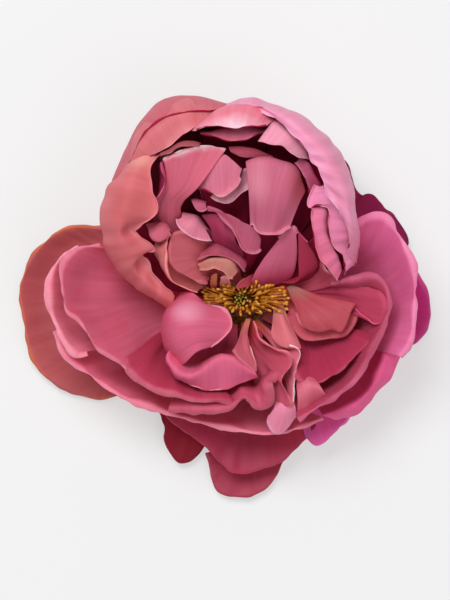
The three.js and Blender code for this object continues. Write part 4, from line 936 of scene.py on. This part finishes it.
def threadAlong(name, bend, radius, head):
    # a thin rod pulled along the curve of three points, root, elbow and tip, and a small bead at its end
    root, elbow, tip = [Vector(point) for point in bend]
    bpy.ops.mesh.primitive_cylinder_add(vertices=5, radius=radius * mm, depth=1, end_fill_type="TRIFAN")
    thread = bpy.context.object
    thread.name = name
    bpy.ops.object.mode_set(mode="EDIT")
    bpy.ops.mesh.select_all(action="DESELECT")
    bpy.ops.object.mode_set(mode="OBJECT")
    # the edges that run along the rod are cut, so that it can bend
    for edge in thread.data.edges:
        ends = [thread.data.vertices[i].co.z for i in edge.vertices]
        edge.select = abs(ends[0] - ends[1]) > 0.9
    bpy.ops.object.mode_set(mode="EDIT")
    bpy.ops.mesh.subdivide(number_cuts=5)
    bpy.ops.object.mode_set(mode="OBJECT")
    for vert in thread.data.vertices:
        share = vert.co.z + 0.5
        inverse = 1 - share
        centre = inverse ** 2 * root + 2 * share * inverse * elbow + share ** 2 * tip
        vert.co = toFrame(centre) + Vector((vert.co.x, vert.co.y, 0.5 * vert.co.x))
    lean = (tip - elbow).normalized()
    bpy.ops.mesh.primitive_ico_sphere_add(subdivisions=1, radius=1, location=toFrame(tip))
    bead = bpy.context.object
    bead.scale = [size * mm for size in head]
    bead.rotation_euler = lean.to_track_quat("X", "Z").to_euler()
    bpy.ops.object.transform_apply(location=True, rotation=True, scale=True)
    return thread, bead


def bunch(node, threads, threadLook, beadLook):
    # all the filaments become one piece, and all their beads another
    rods, beads = zip(*threads)
    for pieces, look in ((rods, threadLook), (beads, beadLook)):
        bpy.ops.object.select_all(action="DESELECT")
        for piece in pieces:
            piece.select_set(True)
        bpy.context.view_layer.objects.active = pieces[0]
        bpy.ops.object.join()
        whole = bpy.context.object
        whole.name = look["name"] + "_skin"
        bpy.ops.object.shade_smooth()
        whole.data.materials.clear()
        whole.data.materials.append(plantMaterial(look))
        standFor(whole, node)


goldenTurn = 2.39996         # radians from one thread to the next, so that none stand in line

# lengths in mm; an anther or stigma by its three radii, a ring by its two
stamens = {"count": 120, "radius": 0.2, "anther": (0.72, 0.42, 0.34),
    "rootRing": (3.4, 2.9), "tipRing": (12.2, 4.3)}
rootAcross, rootUp = stamens["rootRing"]
tipAcross, tipUp = stamens["tipRing"]
stamenThreads = []
for number in range(stamens["count"]):
    turn = goldenTurn * number
    reach = 0.3 + 0.7 * ((number * 37 % stamens["count"]) / stamens["count"]) ** 0.6
    # sway and curl push each thread off its ring
    sway = noise.noise((number * 0.7, 2.5, 0))
    curl = noise.noise((number * 0.9, 7.5, 0))
    root = (rootAcross * math.cos(turn), rootUp * math.sin(turn), hipTop)
    tip = (0.2 + tipAcross * reach * math.cos(turn) + 2.4 * sway,
           0.1 + tipUp * reach * math.sin(turn) + 1.6 * curl, 3.6 + 2.2 * reach + 1.6 * sway)
    elbow = (0.55 * tip[0] + 2.2 * curl, 0.5 * tip[1] + 2.4 * sway, 5.4 + 2.4 * curl)
    stamenThreads.append(threadAlong("filament", (root, elbow, tip), stamens["radius"], stamens["anther"]))
bunch("stamens", stamenThreads,
    {"name": "filaments", "roughness": 0.45, "grain": 500, "dark": (150, 78, 8), "light": (206, 134, 34)},
    {"name": "anthers", "roughness": 0.6, "grain": 900, "dark": (178, 100, 16), "light": (230, 166, 66)})

styles = {"count": 16, "radius": 0.26, "stigma": (0.42, 0.4, 0.3),
    "spread": 0.35, "elbow": 1.2, "height": 2.6}
styleThreads = []
for number in range(styles["count"]):
    turn = goldenTurn * number
    spread = styles["spread"] * number ** 0.5
    root = (-0.4 + 0.8 * spread * math.cos(turn), 0.8 * spread * math.sin(turn), hipTop)
    tip = (-0.6 + 1.5 * spread * math.cos(turn), 0.2 + 1.3 * spread * math.sin(turn),
           styles["height"] + 0.5 * math.sin(3 * turn))
    elbow = (root[0], root[1], styles["elbow"])
    styleThreads.append(threadAlong("style", (root, elbow, tip), styles["radius"], styles["stigma"]))
bunch("styles", styleThreads,
    {"name": "style_columns", "roughness": 0.5, "grain": 500,
     "dark": (120, 104, 30), "light": (176, 160, 66)},
    {"name": "stigmas", "roughness": 0.55, "grain": 700, "dark": (150, 126, 30), "light": (206, 184, 96)})
print("stamens and styles made")

# the floor lies just under the part, and shines a little so that it stays evenly pale
floorLook = {"size": 6, "drop": 0.0002, "grey": 0.36, "shine": 0.5}
bpy.ops.mesh.primitive_plane_add(size=floorLook["size"], location=(0, 0, -floorLook["drop"]))
floor = bpy.context.object
floor.name = "pale_floor"
floorPaint = bpy.data.materials.new("floor_paint")
floorPaint.use_nodes = True
floorShader = floorPaint.node_tree.nodes["Principled BSDF"]
floorShader.inputs["Base Color"].default_value = (*[floorLook["grey"]] * 3, 1)
floorShader.inputs["Roughness"].default_value = 0.95
floorShader.inputs["Specular IOR Level"].default_value = 0.0
floorShader.inputs["Emission Color"].default_value = (1, 1, 1, 1)
floorShader.inputs["Emission Strength"].default_value = floorLook["shine"]
floor.data.materials.append(floorPaint)

world = bpy.data.worlds.new("studio")
bpy.context.scene.world = world
world.use_nodes = True
world.node_tree.nodes["Background"].inputs["Color"].default_value = (1, 1, 1, 1)
world.node_tree.nodes["Background"].inputs["Strength"].default_value = 0.42


def addLamp(name, spot, size, power):
    bpy.ops.object.light_add(type="AREA", location=spot)
    lamp = bpy.context.object
    lamp.name = name
    lamp.data.shape = "DISK"
    lamp.data.size = size
    lamp.data.energy = power
    lamp.rotation_euler = (Vector((0, 0, 0.02)) - Vector(spot)).to_track_quat("-Z", "Y").to_euler()


addLamp("key_lamp", (-0.2, 0.4, 0.9), 0.5, 7)
addLamp("fill_lamp", (0.4, -0.4, 0.9), 0.8, 1.8)

# distance and seenHeight in metres, aside and the height aimed at in the flower's millimetres
view = {"distance": 1.2, "seenHeight": 0.162, "aside": -4.86, "aimHeight": 10, "sensor": 36}
bpy.ops.object.camera_add()
camera = bpy.context.object
camera.name = "above"
aim = toFrame((view["aside"], 0, view["aimHeight"]))
camera.location = aim + Vector((0, 0, view["distance"]))
camera.rotation_euler = (0, 0, 0)
camera.data.sensor_fit = "VERTICAL"
camera.data.sensor_height = view["sensor"]
camera.data.lens = view["sensor"] * view["distance"] / view["seenHeight"]
bpy.context.scene.camera = camera
bpy.context.scene.view_settings.view_transform = "Standard"
